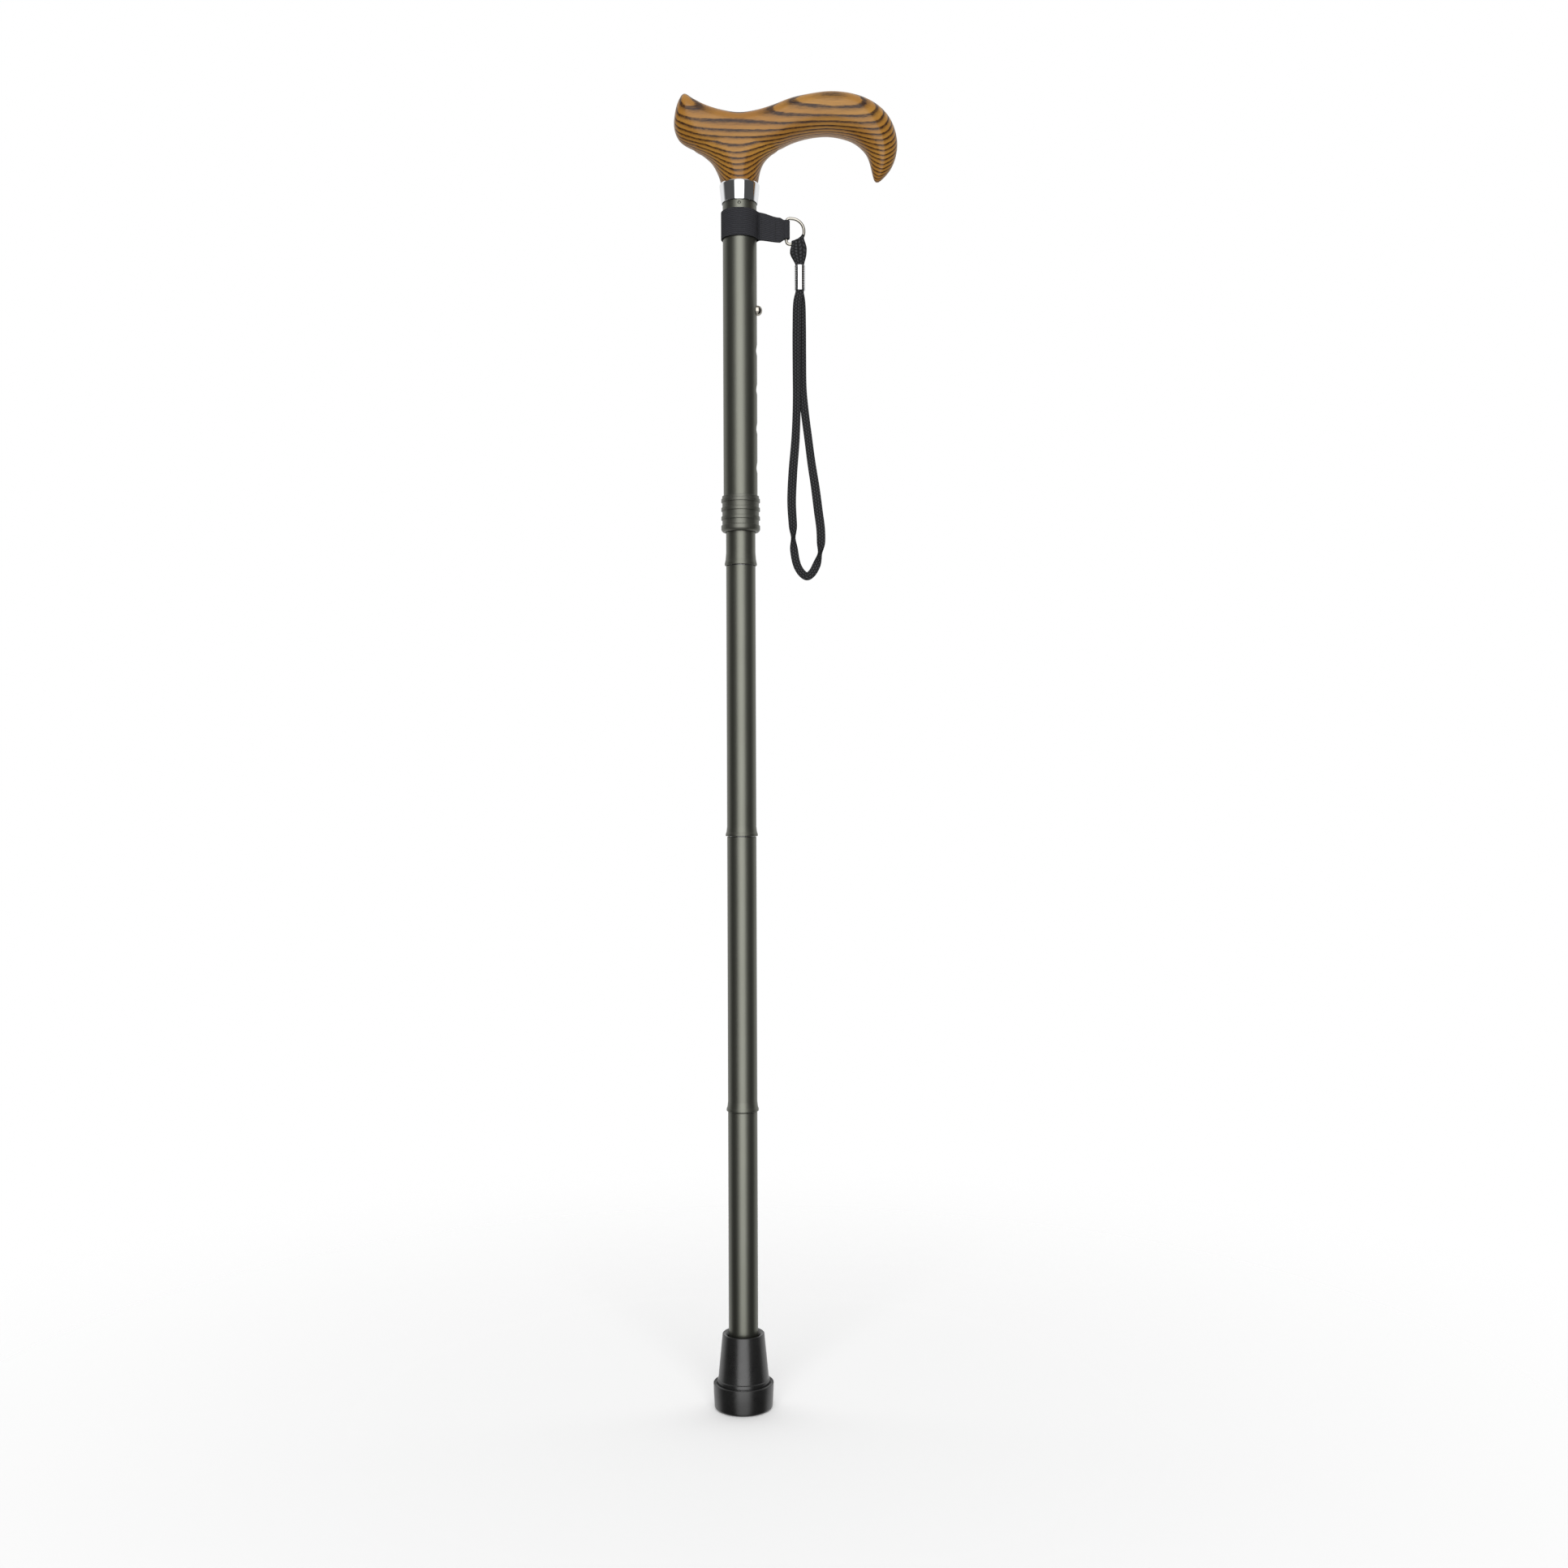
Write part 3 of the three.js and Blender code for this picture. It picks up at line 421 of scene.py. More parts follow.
class Nodes(Graph):
    """One material's nodes, all fed from the piece's own coordinates into one Principled shader."""

    def __init__(self, name, color, roughness, metallic=0.0, **sockets):
        self.material = bpy.data.materials.new(name)
        self.material.use_nodes = True
        super().__init__(self.material.node_tree, "Object")
        self.shader = self.tree.nodes["Principled BSDF"]
        sockets = {"Base_Color": color, "Roughness": roughness, "Metallic": metallic, **sockets}
        for socket, value in sockets.items():
            self.set(socket.replace("_", " ").title().replace("Ior", "IOR"), value)

    def set(self, socket, value):
        if isinstance(value, tuple):
            value = (*value, 1.0)
        self.feed(self.shader.inputs[socket], value)

    def bump(self, height, depth):
        self.set("Normal", self.add("Bump", {"Height": height, "Distance": depth}).outputs[0])


def even(scale):
    return (scale, scale, scale)


GRAIN_TILT = math.radians(57)
# The rings are close together at the neck and wider apart towards the top of the grip.
RING_ORIGIN = 0.4444
RINGS_PER_METRE = 490
RING_WIDENING = 9.6
RING_START = 0.55
# How dark a ring is, from its early wood to its late wood.
LATE_WOOD = ((0.0, 0.0), (0.3, 0.03), (0.56, 0.42), (0.72, 1.0), (0.9, 0.95), (1.0, 0.0))
WOOD_PALE = (0.56, 0.285, 0.052)
WOOD_AMBER = (0.35, 0.14, 0.019)
WOOD_DARK = (0.028, 0.0095, 0.004)


def wood():
    """Growth rings that lie along the grip and tilt back, with dark, broken late wood under lacquer."""
    n = Nodes("lacquered_wood", WOOD_PALE, 0.4, coat_weight=0.28, coat_roughness=0.14)
    n.set("Specular IOR Level", 0.2)
    _, y, z = n.axes()
    up = n.times(z, math.cos(GRAIN_TILT))
    back = n.times(y, math.sin(GRAIN_TILT))
    depth = n.minus(n.minus(up, back), RING_ORIGIN)
    widening = n.minus(1.0, n.times(depth, RING_WIDENING))
    even_rings = n.times(n.times(depth, RINGS_PER_METRE), widening)
    wander = n.span(n.noise((10, 24, 24), 1.0), -0.9, 0.9)
    jitter = n.span(n.noise((110, 480, 480), 3.0, 0.6), -0.16, 0.16)
    rings = n.plus(even_rings, n.plus(wander, jitter))
    place_in_ring = n.math("FRACT", n.plus(rings, RING_START))
    late = n.ramp(place_in_ring, LATE_WOOD)
    streak = n.span(n.noise((90, 1500, 1500), 3.0, 0.6), 0.3, 1.45)
    fibre = n.noise((55, 2600, 2600), 3.0, 0.65)
    pores = n.ramp(n.noise((260, 3400, 3400), 2.0, 0.6), ((0.0, 0.0), (0.52, 0.0), (0.66, 1.0), (1.0, 1.0)))
    tone = n.mix(n.span(n.noise((14, 60, 60), 2.0), -0.2, 1.2), WOOD_PALE, WOOD_AMBER)
    tone = n.mix(n.span(fibre, -0.35, 0.75), tone, n.mix(0.5, tone, WOOD_DARK))
    shade = n.times(late, streak)
    shade = n.plus(shade, n.times(pores, n.span(late, 0.1, 0.5)))
    n.set("Base Color", n.mix(n.math("MINIMUM", shade, 1.0), tone, WOOD_DARK))
    n.set("Roughness", n.span(fibre, 0.34, 0.5))
    n.bump(n.times(shade, -1.0), 0.00006)
    return n.material


def gunmetal():
    """Bead-blasted and anodized aluminium: a satin sheen with a very fine grain."""
    n = Nodes("gunmetal_anodized", (0.14, 0.143, 0.122), 0.42, 1.0)
    grain = n.noise(even(5200), 2.0)
    cloud = n.noise((90, 90, 30), 3.0)
    n.set("Base Color", n.mix(cloud, (0.152, 0.155, 0.131), (0.178, 0.181, 0.156)))
    n.set("Roughness", n.span(grain, 0.37, 0.48))
    n.bump(grain, 0.000006)
    return n.material


def lock_finish():
    """Moulded plastic, painted like the tubes."""
    n = Nodes("lock_collar_satin", (0.125, 0.127, 0.11), 0.42, 0.9)
    grain = n.noise(even(3600), 3.0)
    n.set("Base Color", n.mix(n.noise(even(160)), (0.13, 0.132, 0.112), (0.165, 0.167, 0.147)))
    n.set("Roughness", n.span(grain, 0.36, 0.48))
    n.bump(grain, 0.00001)
    return n.material


def plated(name, low, high, sheen_low, sheen_high):
    """Polished plating with faint wiping marks."""
    n = Nodes(name, low, sheen_low, 1.0)
    smear = n.noise((500, 500, 90), 3.0, 0.6)
    n.set("Base Color", n.mix(smear, low, high))
    n.set("Roughness", n.span(smear, sheen_low, sheen_high))
    n.bump(n.noise(even(420), 1.0), 0.0000025)
    return n.material


def brushed(name, low, high, rough_low, rough_high, scale):
    """Metal with drawn or turned marks, as fine lines across the stretched direction."""
    n = Nodes(name, low, rough_low, 1.0)
    lines = n.noise(scale, 3.0, 0.7)
    n.set("Base Color", n.mix(lines, low, high))
    n.set("Roughness", n.span(lines, rough_low, rough_high))
    n.bump(lines, 0.000008)
    return n.material


def moulded(name, low, high, rough_low, rough_high, depth=0.00001, **sockets):
    """Moulded plastic or rubber: an even fine texture with slightly uneven gloss."""
    n = Nodes(name, low, rough_low, 0.0, **sockets)
    grain = n.noise(even(2600), 4.0, 0.6)
    patches = n.noise(even(120), 3.0)
    n.set("Base Color", n.mix(patches, low, high))
    n.set("Roughness", n.span(n.plus(grain, patches), rough_low, rough_high, 0.6, 1.4))
    n.bump(grain, depth)
    return n.material


KNIT_PITCH = 0.00062


def elastic():
    """Knitted elastic: upright stitches across each rib, read from the length along the ribbon. Its colour is
    lighter on the rib and stitch tops (painted highlight) and darker in the grooves (painted shade).
    """
    n = Nodes("ribbed_elastic", (0.02, 0.02, 0.024), 0.8, specular_ior_level=0.2)
    along = n.attribute("along")
    across = n.attribute("rib")
    stitch = n.math("SINE", n.plus(n.times(along, math.tau / KNIT_PITCH), n.times(across, 2.0)))
    stitch = n.span(stitch, 0.0, 1.0, -1.0, 1.0)
    fuzz = n.noise(even(5200), 3.0, 0.7)
    height = n.plus(n.times(stitch, 0.6), n.times(fuzz, 0.5))
    # Painted highlight on the rib and stitch tops, painted shade in the grooves between them.
    painted_light = n.times(across, n.span(height, 0.35, 1.15))
    n.set("Base Color", n.mix(painted_light, (0.005, 0.005, 0.0058), (0.06, 0.061, 0.07)))
    n.set("Roughness", n.span(fuzz, 0.72, 0.95))
    n.bump(height, 0.00009)
    return n.material


def braided_cord():
    """Braided polyester: a painted highlight on the tops of the stitches and painted shade between them."""
    n = Nodes("braided_cord", (0.02, 0.02, 0.022), 0.75, specular_ior_level=0.25)
    crest = n.attribute("crest")
    fibres = n.noise(even(5200), 3.0, 0.7)
    # Painted highlight on the stitch tops; painted shade between the stitches and on the braid's narrow
    # sides.
    painted_light = n.times(n.math("POWER", crest, 2.2), n.span(fibres, 0.4, 1.3))
    n.set("Base Color", n.mix(painted_light, (0.0035, 0.0035, 0.004), (0.085, 0.087, 0.094)))
    n.set("Roughness", n.span(fibres, 0.6, 0.9))
    n.bump(fibres, 0.00007)
    return n.material


def bungee():
    """The shock cord's pale woven cover with a dark tracer thread."""
    n = Nodes("shock_cord_cover", (0.6, 0.58, 0.52), 0.8)
    x, y, z = n.axes()
    turn = n.math("ARCTAN2", y, x)
    round_it, up_it = n.times(turn, 8.0), n.times(z, 3600.0)
    one_way = n.math("SINE", n.plus(round_it, up_it))
    other_way = n.math("SINE", n.minus(round_it, up_it))
    weave = n.span(n.math("MAXIMUM", one_way, other_way), 0.0, 1.0, -1.0, 1.0)
    tracer = n.math("SINE", n.plus(turn, n.times(z, 900.0)))
    tone = n.mix(n.span(tracer, 0.0, 1.0, 0.8, 1.0), (0.62, 0.6, 0.54), (0.05, 0.05, 0.055))
    n.set("Base Color", n.mix(weave, (0.2, 0.19, 0.17), tone))
    n.set("Roughness", n.span(n.noise(even(3000)), 0.7, 0.9))
    n.bump(weave, 0.0002)
    return n.material


def dowel():
    n = Nodes("beech_dowel", (0.5, 0.33, 0.17), 0.6)
    fibre = n.noise((1600, 1600, 60), 4.0, 0.6)
    n.set("Base Color", n.mix(fibre, (0.56, 0.38, 0.2), (0.36, 0.22, 0.1)))
    n.set("Roughness", n.span(fibre, 0.5, 0.7))
    n.bump(fibre, 0.00005)
    return n.material


WOOD = wood()
GUNMETAL = gunmetal()
LOCK = lock_finish()
CHROME = plated("bright_chrome", (0.78, 0.79, 0.81), (0.88, 0.89, 0.9), 0.035, 0.085)
NICKEL = plated("bright_nickel", (0.3, 0.285, 0.25), (0.42, 0.4, 0.355), 0.09, 0.16)
ZINC = brushed("zinc_plated_steel", (0.5, 0.5, 0.47), (0.68, 0.67, 0.62), 0.22, 0.4, even(1500))
SPRING = brushed("spring_steel", (0.2, 0.21, 0.23), (0.36, 0.37, 0.4), 0.25, 0.42, (1800, 1800, 60))
ALUMINIUM = brushed("drawn_aluminium", (0.5, 0.51, 0.52), (0.66, 0.67, 0.68), 0.28, 0.45, (2600, 2600, 40))
PLASTIC = moulded("black_nylon", (0.009, 0.009, 0.01), (0.016, 0.016, 0.017), 0.38, 0.58)
RUBBER = moulded(
    "black_rubber", (0.007, 0.007, 0.0072), (0.0115, 0.0115, 0.0112), 0.24, 0.37, 0.00003, ior=1.63
)
ELASTIC = elastic()
BRAID = braided_cord()
THREAD = moulded("black_thread", (0.008, 0.008, 0.009), (0.018, 0.018, 0.02), 0.6, 0.8)
BUNGEE = bungee()
DOWEL = dowel()

# ---- Wrist loop: a flat braid that leaves the crimp, hangs, turns over twice and comes back ----

CRIMP_LOW, CRIMP_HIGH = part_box("crimp_sleeve")
CRIMP_X = (CRIMP_LOW.x + CRIMP_HIGH.x) / 2
CRIMP_BASE = CRIMP_LOW.z
CRIMP_TOP = CRIMP_HIGH.z
STRAND_RISE = (CRIMP_TOP - CRIMP_BASE) / 2 - 0.00015

# Each point is X, Y and Z from the middle of the crimp's foot.
WRIST_LOOP_ROUTE = [
    (0, -0.00125, STRAND_RISE),
    (0, -0.00125, 0),
    (-0.0015, -0.0013, -0.008),
    (-0.002, -0.0013, -0.024),
    (-0.0022, -0.0013, -0.049),
    (-0.0023, -0.0013, -0.074),
    (-0.0031, -0.0012, -0.0955),
    (-0.005, -0.0012, -0.119),
    (-0.0058, -0.0012, -0.1376),
    (-0.005, -0.0012, -0.1534),
    (-0.0043, -0.0011, -0.169),
    (-0.0021, -0.001, -0.179),
    (0.0011, -0.0006, -0.1838),
    (0.004, 0, -0.1854),
    (0.0069, 0.0005, -0.1836),
    (0.0101, 0.0009, -0.1782),
    (0.0127, 0.0011, -0.169),
    (0.0131, 0.0012, -0.1565),
    (0.0115, 0.0012, -0.1429),
    (0.0095, 0.0012, -0.1271),
    (0.0071, 0.0012, -0.1113),
    (0.0051, 0.0013, -0.0955),
    (0.0031, 0.0013, -0.0798),
    (0.0015, 0.0013, -0.064),
    (0.0011, 0.0013, -0.043),
    (0.0011, 0.0013, -0.022),
    (0.0009, 0.0013, -0.008),
    (0, 0.00125, 0),
    (0, 0.00125, STRAND_RISE),
]
BRAID_WIDTH = 0.0056
BRAID_THICKNESS = 0.002
BRAID_COLUMNS = 4
STITCH_PITCH = 0.0021
STITCH_HEIGHT = 0.00022
BRAID_SIDES = 44
BRAID_FULLNESS = 0.8
LOOP_ROWS = 1150
# Where the braid turns over: the height from the crimp's foot, the side, and half the length it takes.
TURNS = ((-0.1605, -1, 0.011), (-0.1705, 1, 0.011))


def stitch(across, along):
    """Height of the braid's surface, 0 to 1: slanted stitches in columns that lean opposite ways."""
    column = min(int(across), BRAID_COLUMNS - 1)
    inside = across - column
    lean = 1 if column % 2 else -1
    phase = (along / STITCH_PITCH + lean * 0.42 * (inside - 0.5) + 0.5 * (column % 2)) % 1.0
    return math.sin(math.pi * phase) ** 0.7 * math.sin(math.pi * min(max(inside, 0.0), 1.0)) ** 0.45


def braid(name, frames, lift=None):
    """A flat braid over frames of (centre, across, out, half width, half thickness, length so far)."""
    rings, crests = [], []
    for centre, across, out, half_width, half_thickness, length in frames:
        ring = []
        for _, c, s in circle(BRAID_SIDES):
            wide, thick = bulge(c, BRAID_FULLNESS), bulge(s, BRAID_FULLNESS)
            crest = stitch((wide * 0.5 + 0.5) * BRAID_COLUMNS, length)
            edge = 0.35 + 0.65 * abs(s)
            rise = STITCH_HEIGHT * (crest - 0.8) * edge
            point = centre + across * wide * (half_width + rise * abs(c))
            point += out * thick * (half_thickness + rise * abs(s))
            if lift:
                point.z += lift(point, length)
            ring.append(point)
            # The stitch height, lower on the braid's narrow sides, also sets the painted highlight and
            # painted shade in the braid's colour.
            crests.append(crest * edge)
        rings.append(ring)
    mesh = to_mesh(name, *skin(rings), crease=80)
    paint(mesh, "crest", crests)
    return to_object(name, mesh)


def turn_over(centre):
    """How far the braid has rolled at a point of the loop, in half turns, on its own side."""
    drop = centre.z - CRIMP_BASE
    right = centre.x > CRIMP_X + 0.002
    rolled = 0.0
    for height, side, half in TURNS:
        if (side > 0) == right:
            rolled += smoothstep(-drop, -height - half, -height + half) * side
    return rolled


def wrist_loop():
    route = [Vector((CRIMP_X + x, y, CRIMP_BASE + z)) for x, y, z in WRIST_LOOP_ROUTE]
    line = spline(route, LOOP_ROWS)
    step = sum((b - a).length for a, b in zip(line, line[1:])) / (len(line) - 1)
    frames = []
    for i, (centre, direction) in enumerate(zip(line, tangents(line))):
        flat = direction.cross(Vector((0, 1, 0))).normalized()
        out = flat.cross(direction)
        angle = math.pi * turn_over(centre)
        across = flat * math.cos(angle) + out * math.sin(angle)
        facing = out * math.cos(angle) - flat * math.sin(angle)
        squeeze = smoothstep(centre.z, CRIMP_BASE - 0.006, CRIMP_BASE + 0.0005)
        half_width = BRAID_WIDTH / 2 * (1 + 0.05 * math.sin(i * step / 0.017)) * (1 - 0.06 * squeeze)
        edge_on = math.sin(angle) ** 2
        half_width *= 1 - 0.14 * edge_on
        half_thickness = BRAID_THICKNESS / 2 * (1 + 0.5 * edge_on)
        frames.append((centre, across, facing, half_width, half_thickness, i * step))
    return place(braid("wrist_loop_braid", frames), "loop", "braid", BRAID, "wrist_loop"), line


# ---- D-ring, and the short loop of braid that hangs on it ----

WIRE_RADIUS = 0.001
RING_LOW, RING_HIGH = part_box("d_ring")
RING_BOW = (RING_HIGH.z - RING_LOW.z) / 2 - WIRE_RADIUS
RING_Z = (RING_HIGH.z + RING_LOW.z) / 2
RING_BAR_X = RING_LOW.x + WIRE_RADIUS
BOW_X = RING_HIGH.x - WIRE_RADIUS - RING_BOW
RING_CORNER = 0.0018
RING_SPLIT = 0.0004
BOW_STEPS = 8
RING_ROWS = 220


def d_ring():
    half = []
    for x, rise in (
        (0, RING_SPLIT / 2),
        (0, RING_BOW * 0.4),
        (0, RING_BOW - RING_CORNER),
        (RING_CORNER / 3, RING_BOW - RING_CORNER / 3),
        (RING_CORNER, RING_BOW),
    ):
        half.append((RING_BAR_X + x, rise))
    bow = []
    for i in range(BOW_STEPS + 1):
        angle = -math.pi / 2 + math.pi * i / BOW_STEPS
        bow.append(Vector((BOW_X + RING_BOW * math.cos(angle), 0, RING_Z + RING_BOW * math.sin(angle))))
    lower = [Vector((x, 0, RING_Z - rise)) for x, rise in half]
    upper = [Vector((x, 0, RING_Z + rise)) for x, rise in reversed(half)]
    line = spline(lower + bow + upper, RING_ROWS)
    bar = tube(line, WIRE_RADIUS, 24, rounded=3)
    return solid("d_ring_wire", bar, "ring", "steel", NICKEL, "d_ring", crease=60)


def wire_height(x):
    """Height of the bow's lower half at an X, held where the bow turns upright."""
    across = min(max(x - BOW_X, 0.0), RING_BOW * 0.86)
    return RING_Z - math.sqrt(RING_BOW ** 2 - across ** 2)


LOOP_THICKNESS = 0.0015
FOLD_X = 0.0376
FOLD_HALF = 0.0041
FOLD_RADIUS = WIRE_RADIUS + LOOP_THICKNESS / 2 + 0.00015
BELLY_Z = 0.7495
BELLY_X = 0.038
BELLY_HALF = 0.0055
THROAT_HALF = 0.0028
THROAT_GAP = 0.00105
FRONT_ROWS = 60
FOLD_ROWS = 16


def small_loop():
    """From the crimp up the front, over the ring's wire and down the back."""
    fold_z = wire_height(FOLD_X)
    bottom = CRIMP_TOP - STRAND_RISE
    front = []
    for i in range(FRONT_ROWS + 1):
        z = bottom + (fold_z - bottom) * i / FRONT_ROWS
        spread = smoothstep(z, CRIMP_TOP - 0.0005, BELLY_Z)
        close = smoothstep(z, BELLY_Z, fold_z)
        y = THROAT_GAP + (FOLD_RADIUS - THROAT_GAP) * smoothstep(z, CRIMP_TOP, CRIMP_TOP + 0.009)
        x = CRIMP_X + (BELLY_X - CRIMP_X) * spread + (FOLD_X - BELLY_X) * close
        half = THROAT_HALF + (BELLY_HALF - THROAT_HALF) * spread + (FOLD_HALF - BELLY_HALF) * close
        front.append((x, -y, z, half))
    fold = []
    for i in range(1, FOLD_ROWS):
        angle = math.pi * i / FOLD_ROWS
        y, rise = -FOLD_RADIUS * math.cos(angle), FOLD_RADIUS * math.sin(angle)
        fold.append((FOLD_X, y, fold_z + rise, FOLD_HALF))
    back = [(x, -y, z, half) for x, y, z, half in reversed(front)]
    stations = front + fold + back
    line = [Vector(station[:3]) for station in stations]
    frames, length = [], 0.0
    for i, (centre, direction) in enumerate(zip(line, tangents(line))):
        length += (centre - line[i - 1]).length if i else 0.0
        across = Vector((1, 0, 0))
        out = across.cross(direction).normalized()
        frames.append((centre, across, out, stations[i][3], LOOP_THICKNESS / 2, length))

    def follow_wire(point, _length):
        share = smoothstep(point.z, BELLY_Z - 0.003, fold_z)
        return share * (wire_height(point.x) - fold_z)

    return place(braid("small_loop_braid", frames, follow_wire), "loop", "braid", BRAID, "ring_loop")


CRIMP_HALF_WIDTH = (CRIMP_HIGH.x - CRIMP_LOW.x) / 2
CRIMP_HALF_DEPTH = (CRIMP_HIGH.y - CRIMP_LOW.y) / 2
CRIMP_WALL = 0.0006
CRIMP_FULLNESS = 0.88
CRIMP_TOOTH_PITCH = 0.00115
CRIMP_TOOTH = 0.00024
CRIMP_LIP = 0.00022
CRIMP_ROWS = 120
CRIMP_SIDES = 72


def crimp():
    """A plated sleeve pressed flat, with rows of teeth down its sides and a plain band down its middle."""
    rings = []
    for i in range(CRIMP_ROWS + 1):
        z = CRIMP_BASE + (CRIMP_TOP - CRIMP_BASE) * i / CRIMP_ROWS
        from_end = min(i, CRIMP_ROWS - i) / CRIMP_ROWS * (CRIMP_TOP - CRIMP_BASE)
        lip = CRIMP_LIP * (1 - smoothstep(from_end, 0.0, 0.0006))
        tooth = CRIMP_TOOTH * (0.5 - 0.5 * math.cos(math.tau * z / CRIMP_TOOTH_PITCH))
        tooth *= smoothstep(from_end, 0.0006, 0.0014)
        ring = []
        for _, c, s in circle(CRIMP_SIDES):
            side = smoothstep(abs(c), 0.3, 0.42)
            inset = lip + tooth * side
            x = bulge(c, CRIMP_FULLNESS) * (CRIMP_HALF_WIDTH - inset)
            y = bulge(s, CRIMP_FULLNESS) * (CRIMP_HALF_DEPTH - inset)
            ring.append(Vector((CRIMP_X + x, y, z)))
        rings.append(ring)
    shrink_x = 1 - CRIMP_WALL / CRIMP_HALF_WIDTH
    shrink_y = 1 - CRIMP_WALL / CRIMP_HALF_DEPTH
    inner = []
    for ring in (rings[-1], rings[CRIMP_ROWS // 2], rings[0]):
        inner.append([Vector((CRIMP_X + (p.x - CRIMP_X) * shrink_x, p.y * shrink_y, p.z)) for p in ring])
    sleeved = skin(rings + inner, closed=True)
    return solid("crimp_plated", sleeved, "loop", "plated", CHROME, "crimp_sleeve", crease=50)


loop_piece, loop_line = wrist_loop()
d_ring()
small_loop_piece = small_loop()
crimp_piece = crimp()

# ---- Elastic strap ----

STRAP_LOW, STRAP_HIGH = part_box("elastic_strap")
RIBBON = 0.00085
BAND_RADIUS = -STRAP_LOW.x - RIBBON / 2
EYE_RADIUS = STRAP_HIGH.x - RING_BAR_X - RIBBON / 2
STRAP_BASE = base("elastic_strap") + 0.0016
RIB_COUNT = 20
RIB_DEPTH = 0.00013
LEG_GAP = 0.00047
SEAMS = (0.0141, 0.0233)
SEAM_DEPTH = 0.00016
SEWN_PITCH = 0.0024
SEWN_LENGTH = 0.0016
THREAD_RADIUS = 0.00021
# The angle, in degrees, at which the band leaves the tube for the tab.
BAND_LEAVES = 14
STRAP_COLUMNS = 420
ROWS_PER_RIB = 6
BACK_ROWS = 12


def strap_line():
    """The ribbon's centre line from above: round the tube, out along the tab, round the bar and back."""
    band = []
    for angle in range(BAND_LEAVES, 361 - BAND_LEAVES, 4):
        a = math.radians(angle)
        band.append(Vector((BAND_RADIUS * math.cos(a), BAND_RADIUS * math.sin(a), 0)))
    corner = BAND_RADIUS + 0.0004
    front = [
        Vector((corner + 0.0001, -0.0016, 0)),
        Vector((corner + 0.0008, -0.00075, 0)),
        Vector((corner + 0.0022, -LEG_GAP, 0)),
        Vector((corner + 0.006, -LEG_GAP, 0)),
        Vector((RING_BAR_X - 0.0075, -LEG_GAP, 0)),
        Vector((RING_BAR_X - 0.0036, -LEG_GAP - 0.00012, 0)),
        Vector((RING_BAR_X - 0.0021, -LEG_GAP - 0.0005, 0)),
    ]
    eye = []
    for angle in range(-125, 126, 25):
        a = math.radians(angle)
        eye.append(Vector((RING_BAR_X + EYE_RADIUS * math.cos(a), EYE_RADIUS * math.sin(a), 0)))
    back = [Vector((p.x, -p.y, 0)) for p in reversed(front)]
    whole = band + front + eye + back
    return spline(whole + [whole[0]], STRAP_COLUMNS)[:-1]


def strap_edges(x):
    """The heights of the ribbon's lower and upper edge at an X."""
    out = smoothstep(x, -STRAP_LOW.x, RING_BAR_X - 0.004)
    at_eye = smoothstep(x, RING_BAR_X - 0.0045, RING_BAR_X - 0.001)
    lower = STRAP_BASE - 0.0014 * out + 0.002 * at_eye
    upper = STRAP_HIGH.z - 0.0034 * out - 0.0018 * at_eye
    return lower, upper


def strap():
    line = strap_line()
    rings, along, ribs = [], [], []
    length = 0.0
    rows = RIB_COUNT * ROWS_PER_RIB
    for i, (centre, direction) in enumerate(zip(line, tangents(line, closed=True))):
        length += (centre - line[i - 1]).length if i else 0.0
        out = Vector((direction.y, -direction.x, 0))
        lower, upper = strap_edges(centre.x)
        seam = 0.0
        if abs(centre.y) < 0.0012:
            seam = sum(math.exp(-((centre.x - x) / 0.00035) ** 2) for x in SEAMS) * SEAM_DEPTH
        ring = [Vector((centre.x, centre.y, lower))]
        along.append(length)
        ribs.append(0.0)
        for row in range(rows + 1):
            f = row / rows
            rib = abs(math.sin(math.pi * RIB_COUNT * f))
            edge = min(1.0, 0.55 + min(f, 1 - f) * 22)
            offset = (RIBBON / 2 - RIB_DEPTH + RIB_DEPTH * rib) * edge - seam
            height = lower + 0.0001 + (upper - lower - 0.0002) * f
            ring.append(centre + out * offset + Vector((0, 0, height)))
            along.append(length)
            ribs.append(rib)
        ring.append(Vector((centre.x, centre.y, upper)))
        along.append(length)
        ribs.append(0.0)
        for row in range(BACK_ROWS, -1, -1):
            height = lower + 0.0002 + (upper - lower - 0.0004) * row / BACK_ROWS
            ring.append(centre - out * (RIBBON / 2 - 0.00003) + Vector((0, 0, height)))
            along.append(length)
            ribs.append(0.5)
        rings.append(ring)
    mesh = to_mesh("strap_elastic", *skin(rings, closed=True), crease=75)
    paint(mesh, "along", along)
    paint(mesh, "rib", ribs)
    piece = place(to_object("strap_elastic", mesh), "strap", "elastic", ELASTIC, "elastic_strap")
    return piece


def strap_stitches():
    """Thread that shows as short stitches on both faces of the tab, in two rows."""
    threads = []
    for x in SEAMS:
        lower, upper = strap_edges(x)
        count = int((upper - lower - 0.002) / SEWN_PITCH)
        for i in range(count):
            start = lower + 0.0014 + i * SEWN_PITCH
            for side in (-1, 1):
                points = []
                for k in range(9):
                    t = k / 8
                    lie = LEG_GAP + RIBBON / 2 - SEAM_DEPTH - 0.00022 + 0.00034 * math.sin(math.pi * t) ** 0.5
                    points.append(Vector((x, side * lie, start + SEWN_LENGTH * t)))
                threads.append(tube(points, THREAD_RADIUS, 8))
    return solid("strap_stitches", joined(*threads), "strap", "elastic", THREAD, crease=60)


strap()
strap_stitches()

# ---- Tubes ----

BELL_LENGTHS = {1: 0.0084, 2: 0.0063, 3: 0.0063}
BELL_FLARE = radius("section_1_tube") - INNER_RADIUS


